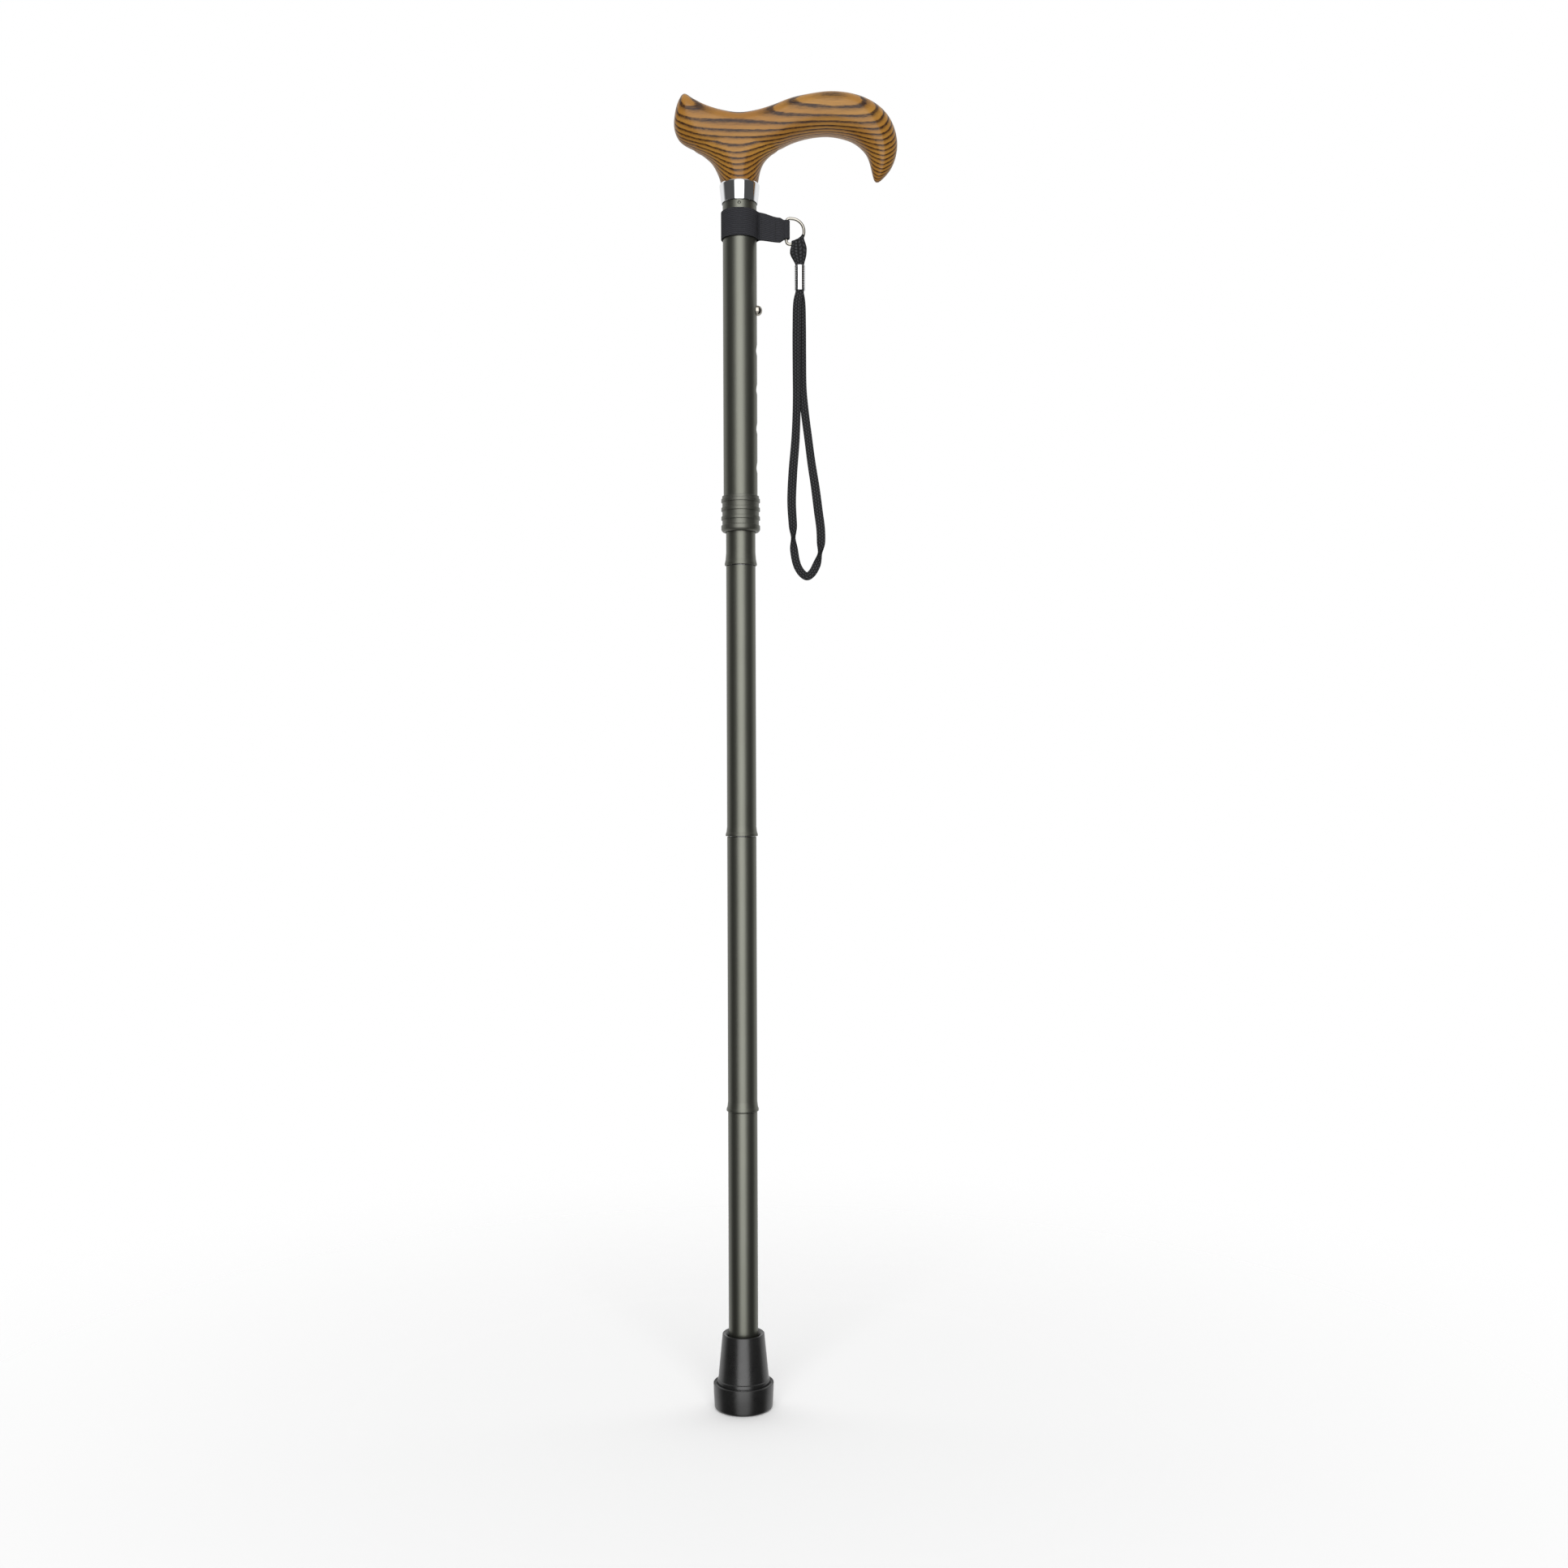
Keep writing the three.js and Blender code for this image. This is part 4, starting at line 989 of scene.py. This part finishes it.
def belled_tube(number):
    low, high = base(f"section_{number}_tube"), top(f"section_{number}_tube")
    bell = BELL_LENGTHS[number]
    lip = INNER_RADIUS + BELL_FLARE
    return [
        (lip, low, 0.0006),
        (lip, low + 0.0013, 0.0012),
        (INNER_RADIUS + BELL_FLARE * 0.42, low + bell * 0.45, 0.004),
        (INNER_RADIUS, low + bell, 0.006),
        (INNER_RADIUS, high, 0.0003),
        (INNER_BORE, high, 0.0003),
        (INNER_BORE, low + bell, 0.004),
        (INNER_BORE + BELL_FLARE, low, 0.0003),
    ]


def cross_rod(rod_radius, start, end, height):
    points, faces = turned([(0, start), (rod_radius, start), (rod_radius, end), (0, end)], 48)
    return upright_to_x(points, height), faces


def flared_hole(height):
    """A hole's tool: the hole itself, opened slightly at the tube's skin."""
    skin_x = UPPER_RADIUS
    points, faces = turned(
        [
            (0, 0),
            (HOLE_RADIUS, 0),
            (HOLE_RADIUS, skin_x - UPPER_WALL),
            (HOLE_RADIUS + 0.00012, skin_x - 0.0007, 0.002),
            (HOLE_RADIUS + 0.0007, skin_x + 0.0005),
            (0, skin_x + 0.0005),
        ],
        64,
    )
    return upright_to_x(points, height), faces


def tubes():
    for number, body in ((1, "section_1"), (2, "section_2"), (3, "section_3")):
        name = f"tube_section_{number}"
        obj = to_object(name, to_mesh(name, *turned(belled_tube(number), 128)))
        if number == 1:
            cut(obj, cross_rod(HOLE_RADIUS, 0, UPPER_RADIUS, BUTTON_HEIGHT))
        place(obj, body, "gunmetal", GUNMETAL, f"section_{number}_tube")
    low, high = base("section_4_tube"), top("section_4_tube")
    profile = [(INNER_RADIUS, low, EASE), (INNER_RADIUS, high, 0.0003)]
    profile += [(INNER_BORE, high, 0.0003), (INNER_BORE, low, EASE)]
    solid("tube_section_4", turned(profile, 128), "foot_section", "gunmetal", GUNMETAL, "section_4_tube")


STAKE_BELOW_NECK = 0.011
STAKE_RADIUS = 0.0011
STAKE_DEPTH = 0.0005


def upper_tube():
    low, high = base("upper_tube"), top("upper_tube")
    profile = [(UPPER_RADIUS, low, EASE), (UPPER_RADIUS, high, EASE)]
    profile += [(UPPER_BORE, high, EASE), (UPPER_BORE, low, EASE)]
    obj = to_object("tube_upper", to_mesh("tube_upper", *turned(profile, 160)))
    tools = [flared_hole(BUTTON_HEIGHT - i * HOLE_PITCH) for i in range(HOLE_COUNT)]
    dent = []
    for i in range(7):
        angle = math.pi / 2 * i / 6
        dent.append((STAKE_RADIUS * math.sin(angle), -STAKE_DEPTH * math.cos(angle)))
    dent += [(STAKE_RADIUS, 0.001), (0, 0.001)]
    points, faces = turned(dent, 32)
    stake_z = NECK_BASE - STAKE_BELOW_NECK
    tools.append(([Vector((p.x, -UPPER_RADIUS - p.z + 0.0001, stake_z + p.y)) for p in points], faces))
    cut(obj, *tools)
    return place(obj, "upper", "gunmetal", GUNMETAL, "upper_tube")


tubes()
upper_tube()

# ---- Button ----

BUTTON_DOME = 0.0029
DOME_STEPS = 14


def button():
    low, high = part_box("snap_button")
    body = HOLE_RADIUS - 0.0002
    flange = (high.y - low.y) / 2
    profile = [
        (0, low.x),
        (flange, low.x, 0.0002),
        (flange, low.x + 0.001, 0.0002),
        (body, low.x + 0.001, 0.0003),
    ]
    for i in range(DOME_STEPS + 1):
        angle = math.pi / 2 * i / DOME_STEPS
        profile.append((body * math.cos(angle), high.x - BUTTON_DOME * (1 - math.sin(angle))))
    profile[-1] = (0, high.x)
    points, faces = turned(profile, 64)
    shape = upright_to_x(points, BUTTON_HEIGHT), faces
    return solid("button_domed", shape, "button", "steel", NICKEL, "snap_button")


button()

# ---- Lock collar and its split ring ----

COLLAR_BORE = UPPER_RADIUS + TURN_CLEARANCE
MOUTH_BORE = INNER_RADIUS + 0.00035
MOUTH_DEPTH = 0.002
RIB_RISE = 0.0006
RIB_WIDTH = 0.0024
RIB_PITCH = 0.0057
FIRST_RIB = 0.0078
RIB_ROWS = 3
COLLET_SLIT = 0.001
COLLET_STEPS = 96
FLANGE_HEIGHT = 0.0045


def lock_collar():
    low, high = base("lock_collar"), top("lock_collar")
    outer = radius("lock_collar")
    valley = outer - RIB_RISE
    profile = [
        (MOUTH_BORE, low, 0.0003),
        (outer - 0.0012, low, 0.0012),
        (outer, low + 0.0014, 0.0018),
        (outer, low + FLANGE_HEIGHT - 0.0003, 0.0003),
        (valley - 0.0001, low + FLANGE_HEIGHT, 0.00008),
    ]
    for i in range(RIB_ROWS):
        foot = low + FIRST_RIB + i * RIB_PITCH
        profile += [
            (valley - 0.0001, foot, 0.00006),
            (outer, foot + 0.00015, 0.0002),
            (outer - 0.00008, foot + RIB_WIDTH - 0.00015, 0.0002),
            (valley - 0.0001, foot + RIB_WIDTH, 0.00006),
        ]
    profile += [
        (valley, high, 0.00025),
        (COLLAR_BORE, high, 0.0002),
        (COLLAR_BORE, low + MOUTH_DEPTH, 0.0003),
        (MOUTH_BORE, low + MOUTH_DEPTH, 0.0003),
    ]
    return solid("collar_ribbed", turned(profile, 128), "lock", "lock_plastic", LOCK, "lock_collar")


def collet():
    """The split ring: a wall swept round the tube from one side of its slit to the other."""
    low, high = base("collet_bushing"), top("collet_bushing")
    outer = radius("collet_bushing")
    inner = INNER_RADIUS + TURN_CLEARANCE
    slit = COLLET_SLIT / outer
    outline = [(outer, low + 0.0004), (outer, high - 0.0004), (outer - 0.0002, high), (inner, high)]
    outline += [(inner, low), (outer - 0.0002, low)]
    rings = []
    for i in range(COLLET_STEPS + 1):
        angle = -math.pi + slit + (math.tau - 2 * slit) * i / COLLET_STEPS
        rings.append([Vector((r * math.cos(angle), r * math.sin(angle), z)) for r, z in outline])
    split = skin(rings)
    return solid("collet_split", split, "upper", "black_plastic", PLASTIC, "collet_bushing", crease=30)


lock_collar()
collet()

# ---- Plated sleeve ----

SLEEVE_RIM = 0.0011


def sleeve():
    low, high = base("handle_collar"), top("handle_collar")
    outer = radius("handle_collar")
    bore = UPPER_RADIUS + TURN_CLEARANCE
    neck_bore = outer - SLEEVE_RIM + TURN_CLEARANCE
    seat = top("upper_tube")
    profile = [
        (bore + 0.00055, low, 0.0003),
        (outer, high - 0.0009, 0.0012),
        (outer - EASE, high, 0.0004),
        (neck_bore, high, 0.0003),
        (neck_bore, seat, 0.0002),
        (bore, seat, 0.0002),
        (bore, low, 0.00015),
    ]
    return solid("sleeve_plated", turned(profile, 160), "upper", "plated", CHROME, "handle_collar")


sleeve()

# ---- Pieces inside the shaft ----


def inner_piece(name, node, body, slot, material, profile):
    return solid(name, turned(profile, 64), body, slot, material, node)


def hollow(node, bore, ease=0.0003):
    """A plain ring of the node's outer size."""
    low, high, outer = base(node), top(node), radius(node)
    return [(outer, low, ease), (outer, high, ease), (bore, high, ease), (bore, low, ease)]


GUIDE_STEM = 0.0103
CAP_BRIM = 0.002
CAP_WALL = 0.002


def guide(node):
    """A stem in the spigot with a tapered nose over it."""
    low, high, outer = base(node), top(node), radius(node)
    stem = SPIGOT_BORE - TURN_CLEARANCE
    shoulder = low + GUIDE_STEM
    return [
        (stem, low, 0.0004),
        (stem, shoulder, 0.0002),
        (outer, shoulder, 0.0004),
        (outer - EASE, shoulder + 0.0012, 0.0015),
        (CORD_BORE + 0.0018, high, 0.0012),
        (CORD_BORE, high, 0.0006),
        (CORD_BORE, low, 0.0004),
    ]


def inserts():
    holders = {1: "section_2", 2: "section_3", 3: "foot_section"}
    for number, body in holders.items():
        tube_node, guide_node = f"insert_tube_{number}", f"cord_guide_{number}"
        spigot = hollow(tube_node, SPIGOT_BORE, 0.0005)
        inner_piece(f"spigot_{number}", tube_node, body, "aluminium", ALUMINIUM, spigot)
        inner_piece(f"guide_{number}", guide_node, body, "black_plastic", PLASTIC, guide(guide_node))


def anchors():
    for name, node, body in (
        ("anchor_low", "cord_anchor_bottom", "foot_section"),
        ("anchor_high", "cord_anchor_top", "section_1"),
    ):
        inner_piece(name, node, body, "black_plastic", PLASTIC, hollow(node, CORD_BORE, 0.0008))


def cap():
    low, high, outer = base("tube_cap"), top("tube_cap"), radius("tube_cap")
    stem = INNER_BORE - TURN_CLEARANCE
    shoulder = high - CAP_BRIM
    profile = [
        (stem, low, 0.0005),
        (stem, shoulder, 0.0002),
        (outer, shoulder, 0.0003),
        (outer, high, 0.0008),
        (stem - CAP_WALL, high, 0.0005),
        (stem - CAP_WALL, low, 0.0005),
    ]
    inner_piece("cap_top", "tube_cap", "section_1", "black_plastic", PLASTIC, profile)


DOWEL_RADIUS = 0.007
DOWEL_BORE = 0.0073


def plug():
    low, high, outer = base("handle_plug"), top("handle_plug"), radius("handle_plug")
    shoulder = top("upper_tube")
    profile = [
        (outer, low, 0.0008),
        (outer, shoulder, 0.0003),
        (DOWEL_RADIUS, shoulder, 0.0003),
        (DOWEL_RADIUS, high, 0.0008),
        (SCREW_BORE, high, 0.0002),
        (SCREW_BORE, low, 0.0002),
    ]
    inner_piece("plug_dowel", "handle_plug", "upper", "dowel_wood", DOWEL, profile)


SCREW_RADIUS = 0.0025
THREAD_PITCH = 0.0018
THREAD_DEPTH = 0.0006
SCREW_POINT = 0.005
SCREW_ROWS = 420
SCREW_SIDES = 40


def screw():
    """A wood screw: its shank's outline rises and falls along the thread, one turn for each pitch."""
    low, high, head = base("handle_screw"), top("handle_screw"), radius("handle_screw")
    outline = [(head * 0.75, low), (head * 0.94, low + 0.0004), (head, low + 0.0011), (head, low + 0.002)]
    outline.append((SCREW_RADIUS, low + 0.002))
    shank_start = low + 0.0022
    rings = [[Vector((r * c, r * s, z)) for _, c, s in circle(SCREW_SIDES)] for r, z in outline]
    for i in range(SCREW_ROWS + 1):
        z = shank_start + (high - shank_start) * i / SCREW_ROWS
        taper = min(1.0, (high - z) / SCREW_POINT + 0.02)
        threaded = smoothstep(z, high - 0.032, high - 0.031)
        ring = []
        for angle, c, s in circle(SCREW_SIDES):
            wave = abs(((z / THREAD_PITCH - angle / math.tau) % 1.0) * 2 - 1)
            r = (SCREW_RADIUS - THREAD_DEPTH * threaded * (1 - wave ** 3)) * taper
            ring.append(Vector((r * c, r * s, z)))
        rings.append(ring)
    solid("screw_threaded", skin(rings), "upper", "steel", ZINC, "handle_screw", crease=50)


def washers():
    inner_piece("washer_screw", "screw_washer", "upper", "steel", ZINC, hollow("screw_washer", SCREW_BORE))
    low, high, outer = base("ferrule_washer"), top("ferrule_washer"), radius("ferrule_washer")
    disc = [(0, low), (outer, low, 0.0004), (outer, high, 0.0004), (0, high)]
    inner_piece("washer_tip", "ferrule_washer", "foot_section", "steel", ZINC, disc)


KNOT_LENGTH = 0.005
KNOT_LUMPS = 8
CORD_ROWS = 60
CORD_GRIPPED = 0.004


def knot(low, outer):
    """A knot's lumpy outline, from low upwards."""
    lumps = []
    for i in range(KNOT_LUMPS):
        swell = 0.82 + 0.18 * math.sin(math.pi * (i + 0.5) / 3) ** 2
        lumps.append((outer * swell, low + KNOT_LENGTH * (i + 0.5) / KNOT_LUMPS, 0.0008))
    return lumps


def shock_cord():
    """Three lengths of one cord. Each stretches across one of the joints that pull apart."""
    low, high, outer = base("shock_cord"), top("shock_cord"), radius("shock_cord")
    splits = [
        low,
        (base("section_3_tube") + top("section_3_tube")) / 2,
        (base("section_2_tube") + top("section_2_tube")) / 2,
        high,
    ]
    bodies = ("foot_section", "section_3", "section_2", "section_1")
    for i in range(3):
        start, end = splits[i], splits[i + 1]
        from_z = start + (KNOT_LENGTH if i == 0 else 0)
        to_z = end - (KNOT_LENGTH if i == 2 else 0)
        profile = [(0, start)] + (knot(start, outer) if i == 0 else [])
        profile += [(CORD_RADIUS, from_z + (to_z - from_z) * k / CORD_ROWS) for k in range(CORD_ROWS + 1)]
        profile += (knot(to_z, outer) if i == 2 else []) + [(0, end)]
        stretch = {"start": (0, 0, from_z + CORD_GRIPPED), "end": (0, 0, to_z - CORD_GRIPPED)}
        shape = turned(profile, 24)
        name = f"shock_cord_{i + 1}"
        blended(name, shape, "bungee", BUNGEE, "shock_cord", bodies[i:i + 2], **stretch, crease=60)


inserts()
anchors()
cap()
plug()
screw()
washers()
shock_cord()

# ---- Leaf spring ----

LEAF_THICKNESS = 0.0006
LEAF_CORNERS = 6
LEAF_ROWS = 90


def leaf_spring():
    low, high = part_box("button_spring")
    half_width = high.y
    half = LEAF_THICKNESS / 2
    front, back, bend = high.x - half, low.x + half, low.z + half
    line = [
        (front, high.z),
        (front, BUTTON_HEIGHT - 0.004),
        (front - 0.0006, BUTTON_HEIGHT - 0.012),
        (front - 0.0024, bend + 0.003),
        ((front + back) / 2, bend),
        (back + 0.0016, bend + 0.003),
        (back + 0.0003, BUTTON_HEIGHT - 0.012),
        (back, BUTTON_HEIGHT - 0.002),
    ]
    centres = spline([Vector((x, 0, z)) for x, z in line], LEAF_ROWS)
    rings = []
    for i, (centre, direction) in enumerate(zip(centres, tangents(centres))):
        out = direction.cross(Vector((0, 1, 0))).normalized()
        from_end = min(i, len(centres) - 1 - i)
        narrow = 1 - 0.2 * max(0.0, 1 - from_end / 4) ** 2
        ring = []
        for side in (1, -1):
            for k in range(LEAF_CORNERS + 1):
                angle = -math.pi / 2 + math.pi * k / LEAF_CORNERS
                across = (half_width - half) * narrow + half * math.cos(angle)
                ring.append(centre + Vector((0, side * across, 0)) + out * side * half * math.sin(angle))
        rings.append(ring)
    start, end = (0.0005, 0, BUTTON_HEIGHT), (front - 0.0004, 0, BUTTON_HEIGHT)
    bodies = ("section_1", "button")
    blended("leaf_spring", skin(rings), "spring_steel", SPRING, "button_spring", bodies, start, end, 50)


leaf_spring()

# ---- Rubber tip ----

TIP_RING_HEIGHT = 0.0168
TREAD_RADII = (0.006, 0.012)
TREAD_WIDTH = 0.003
TREAD_DEPTH = 0.0012
TIP_FLOOR = 0.008
# The cone's wall at its foot and at its top.
CONE_WALLS = (0.00715, 0.00385)


def rubber_tip():
    high, outer = top("ferrule"), radius("ferrule")
    bore = INNER_RADIUS + 0.00025
    cone_foot, cone_top = (bore + wall for wall in CONE_WALLS)
    ring = TIP_RING_HEIGHT
    profile = [(0, 0)]
    for inner in TREAD_RADII:
        profile += [(inner, 0, 0.0002), (inner + 0.0003, TREAD_DEPTH, 0.0004)]
        profile += [(inner + TREAD_WIDTH - 0.0003, TREAD_DEPTH, 0.0004), (inner + TREAD_WIDTH, 0, 0.0002)]
    profile += [
        (outer - 0.0016, 0, 0.0012),
        (outer - 0.0007, 0.0012, 0.0022),
        (outer - 0.0003, ring * 0.55, 0.01),
        (outer - 0.00004, ring - 0.0004, 0.0002),
        (outer - 0.0005, ring, 0.0002),
        (cone_foot + 0.0013, ring - 0.0014, 0.0008),
        (cone_foot + 0.0003, ring - 0.0006, 0.0007),
        (cone_foot + 0.0001, ring + 0.002, 0.0002),
        (cone_foot - 0.0005, ring + 0.0025, 0.0002),
        (cone_top, high - 0.0005, 0.0003),
        (cone_top - 0.0004, high, 0.0003),
        (bore + 0.0016, high - 0.0006, 0.001),
        (bore + 0.0002, high - 0.0026, 0.0012),
        (bore, high - 0.005, 0.001),
        (bore, TIP_FLOOR, 0.0006),
        (0, TIP_FLOOR),
    ]
    return solid("tip_rubber", turned(profile, 144), "foot_section", "rubber", RUBBER, "ferrule", crease=50)


rubber_tip()

# ---- Handle ----

# Along the grip from nose to hook tip: X and height of the upper edge, the same of the lower edge, and half
# the width. Heights are above the neck's base.
GRIP_STATIONS = [
    (-0.0424, 0.0454, -0.0424, 0.0412, 0.0022),
    (-0.041, 0.0532, -0.0412, 0.0366, 0.007),
    (-0.0388, 0.0592, -0.0388, 0.0324, 0.0096),
    (-0.0356, 0.0632, -0.035, 0.029, 0.011),
    (-0.03, 0.0601, -0.0295, 0.0261, 0.012),
    (-0.022, 0.0558, -0.021, 0.0236, 0.0126),
    (-0.011, 0.0522, -0.01, 0.0226, 0.0129),
    (0, 0.0506, 0.001, 0.0224, 0.0129),
    (0.011, 0.0521, 0.013, 0.023, 0.0129),
    (0.022, 0.0554, 0.0245, 0.0262, 0.0131),
    (0.033, 0.0595, 0.035, 0.0312, 0.0135),
    (0.045, 0.0621, 0.046, 0.0343, 0.0139),
    (0.059, 0.0637, 0.057, 0.0353, 0.0143),
    (0.073, 0.0623, 0.066, 0.0339, 0.0143),
    (0.085, 0.0582, 0.073, 0.0312, 0.014),
    (0.094, 0.0519, 0.078, 0.0273, 0.0132),
    (0.0998, 0.0436, 0.0815, 0.0231, 0.012),
    (0.1027, 0.0332, 0.0835, 0.0188, 0.0102),
    (0.1021, 0.0236, 0.0849, 0.0144, 0.0081),
    (0.0988, 0.0146, 0.086, 0.0105, 0.0059),
    (0.0944, 0.0088, 0.0869, 0.0072, 0.0039),
    (0.0904, 0.0051, 0.0878, 0.005, 0.0018),
]
# Up the neck: height above its base, and how far it flares to the left, to the right and to each side.
NECK_RADIUS = UPPER_RADIUS + 0.00095
NECK_STATIONS = [
    (0, 0, 0, 0),
    (0.0037, 0, 0, 0),
    (0.0087, 0.00135, 0.00075, 0.00025),
    (0.0132, 0.00325, 0.00175, 0.00045),
    (0.0167, 0.00525, 0.00315, 0.00065),
    (0.0195, 0.00755, 0.00485, 0.00075),
    (0.0237, 0.01275, 0.00905, 0.00065),
    (0.0272, 0.01805, 0.01365, 0.00005),
    (0.0332, 0.01605, 0.01155, -0.00145),
]
FULLNESS = 0.86
GRIP_SLIMMING = 0.05
HANDLE_VOXEL = 0.0007
GRIP_RINGS = 150
GRIP_SIDES = 96
NECK_RINGS = 40


def grip():
    upper = [Vector((x, half, NECK_BASE + z)) for x, z, _, _, half in GRIP_STATIONS]
    lower = [Vector((x, half, NECK_BASE + z)) for _, _, x, z, half in GRIP_STATIONS]
    rings = []
    for i in range(GRIP_RINGS + 1):
        t = i / GRIP_RINGS
        high, low = spline_point(upper, t), spline_point(lower, t)
        ridge = smoothstep(t, 0.6, 0.86) * 0.62 + (1 - smoothstep(t, 0.04, 0.24)) * 0.5
        middle = (high + low) / 2
        slim = smoothstep(t, 0.08, 0.2) * (1 - smoothstep(t, 0.78, 0.95))
        reach = (high - low) / 2 * (1 - GRIP_SLIMMING * slim)
        ring = []
        for _, c, s in circle(GRIP_SIDES):
            point = middle + reach * bulge(s, FULLNESS + ridge)
            point.y = high.y * bulge(c, FULLNESS + ridge * 0.12)
            ring.append(point)
        rings.append(ring)
    return skin(rings)


def neck():
    stations = [Vector((rise, left, right, side)) for rise, left, right, side in NECK_STATIONS]
    rings = []
    for i in range(NECK_RINGS + 1):
        rise, left, right, side = spline_point(stations, i / NECK_RINGS)
        ring = []
        for _, c, s in circle(GRIP_SIDES):
            x = (right - left) / 2 + (NECK_RADIUS + (left + right) / 2) * c
            ring.append(Vector((x, (NECK_RADIUS + side) * s, NECK_BASE + rise)))
        rings.append(ring)
    return skin(rings)


def handle():
    """The grip and neck made one body, blended where they meet, then bored for the dowel and the screw."""
    obj = to_object("handle_wood", to_mesh("handle_wood", *joined(grip(), neck())))
    remesh = obj.modifiers.new("remesh", "REMESH")
    remesh.mode = "VOXEL"
    remesh.voxel_size = HANDLE_VOXEL
    smooth = obj.modifiers.new("smooth", "SMOOTH")
    smooth.factor = 0.5
    smooth.iterations = 12
    settled(obj, 60)
    flatten_neck(obj.data)
    low = NECK_BASE - 0.001
    dowel_top = top("handle_plug") + TURN_CLEARANCE
    screw_top = top("handle_screw") + TURN_CLEARANCE
    dowel_hole = turned([(0, low), (DOWEL_BORE, low), (DOWEL_BORE, dowel_top), (0, dowel_top)], 64)
    screw_hole = turned([(0, low), (SCREW_BORE, low), (SCREW_BORE, screw_top), (0, screw_top)], 32)
    cut(obj, dowel_hole, screw_hole, crease=60)
    return place(obj, "upper", "wood", WOOD, "handle")


def flatten_neck(mesh):
    """Brings the foot of the neck back to its true height, which the smoothing rounds."""
    for vertex in mesh.vertices:
        if vertex.co.z < NECK_BASE + HANDLE_VOXEL:
            vertex.co.z = NECK_BASE


handle()

# ---- Floor, world and lights ----

FLOOR_CLEAR = 0.1
FLOOR_GONE = 0.75
FLOOR_HALF = 0.9
FLOOR_STEPS = 40
FLOOR_DROP = 0.0002
SOFTBOX_HALF = math.radians(21)
SOFTBOX_EDGE = math.radians(31)
# The soft source ends a little below the horizon: its level fades between these heights of a unit direction.
SOFTBOX_FOOT = (-0.46, -0.27)
SOFTBOX_FOOT_SHARE = 0.3
BACK_EDGE = math.radians(92)
BACK_FULL = math.radians(114)
# The light from above fades in between these heights of a unit direction.
OVERHEAD_FADE = (0.75, 0.95)
SOFTBOX_LIGHT = 2.8
SIDE_LIGHT = 0.08
BACK_LIGHT = 0.9
OVERHEAD_LIGHT = 0.6


def floor():
    """A pale floor round the tip that fades into the white background."""
    row = FLOOR_STEPS + 1
    places = [FLOOR_HALF * (2 * i / FLOOR_STEPS - 1) for i in range(row)]
    points = [Vector((x, y, 0)) for x in places for y in places]
    faces = []
    for i in range(FLOOR_STEPS):
        for j in range(FLOOR_STEPS):
            a = i * row + j
            faces.append((a, a + row, a + row + 1, a + 1))
    obj = to_object("floor", to_mesh("floor", points, faces))
    n = Nodes("pale_floor", (0.95, 0.95, 0.95), 0.9, emission_color=(1.0, 1.0, 1.0), emission_strength=0.2)
    distance = n.add("VectorMath", {0: n.place}, operation="LENGTH").outputs["Value"]
    fade = n.fade(distance, FLOOR_CLEAR, FLOOR_GONE)
    n.set("Roughness", n.span(n.noise(even(30)), 0.85, 0.95))
    clear = n.add("BsdfTransparent").outputs[0]
    shown = n.add("MixShader", {0: fade, 1: n.shader.outputs[0], 2: clear}).outputs[0]
    n.tree.links.new(shown, n.tree.nodes["Material Output"].inputs["Surface"])
    obj.data.materials.append(n.material)
    obj.visible_glossy = False
    obj.location.z = -FLOOR_DROP


def studio():
    """White all round to the eye. For the light, a tall soft source in front, dark sides and a white back."""
    world = bpy.data.worlds.new("studio")
    bpy.context.scene.world = world
    world.use_nodes = True
    n = Graph(world.node_tree, "Generated")
    x, y, z = n.axes()
    angle = n.math("ABSOLUTE", n.math("ARCTAN2", x, n.times(y, -1.0)))
    front = n.fade(angle, SOFTBOX_HALF, SOFTBOX_EDGE, SOFTBOX_LIGHT, SIDE_LIGHT)
    front = n.times(front, n.fade(z, *SOFTBOX_FOOT, SOFTBOX_FOOT_SHARE, 1.0))
    rear = n.fade(angle, BACK_EDGE, BACK_FULL, 0.0, BACK_LIGHT - SIDE_LIGHT)
    overhead = n.fade(z, *OVERHEAD_FADE)
    around = n.plus(front, rear)
    level = n.add("Mix", {0: overhead, 2: around, 3: OVERHEAD_LIGHT}, data_type="FLOAT").outputs[0]
    lighting = n.add("Background", {"Color": (1.0, 1.0, 1.0, 1.0), "Strength": level}).outputs[0]
    seen = n.add("Background", {"Color": (1.0, 1.0, 1.0, 1.0), "Strength": 1.0}).outputs[0]
    eye = n.add("LightPath").outputs["Is Camera Ray"]
    mixed = n.add("MixShader", {0: eye, 1: lighting, 2: seen}).outputs[0]
    n.tree.links.new(mixed, n.tree.nodes["World Output"].inputs["Surface"])


floor()
studio()
bpy.context.scene.view_settings.view_transform = "Standard"
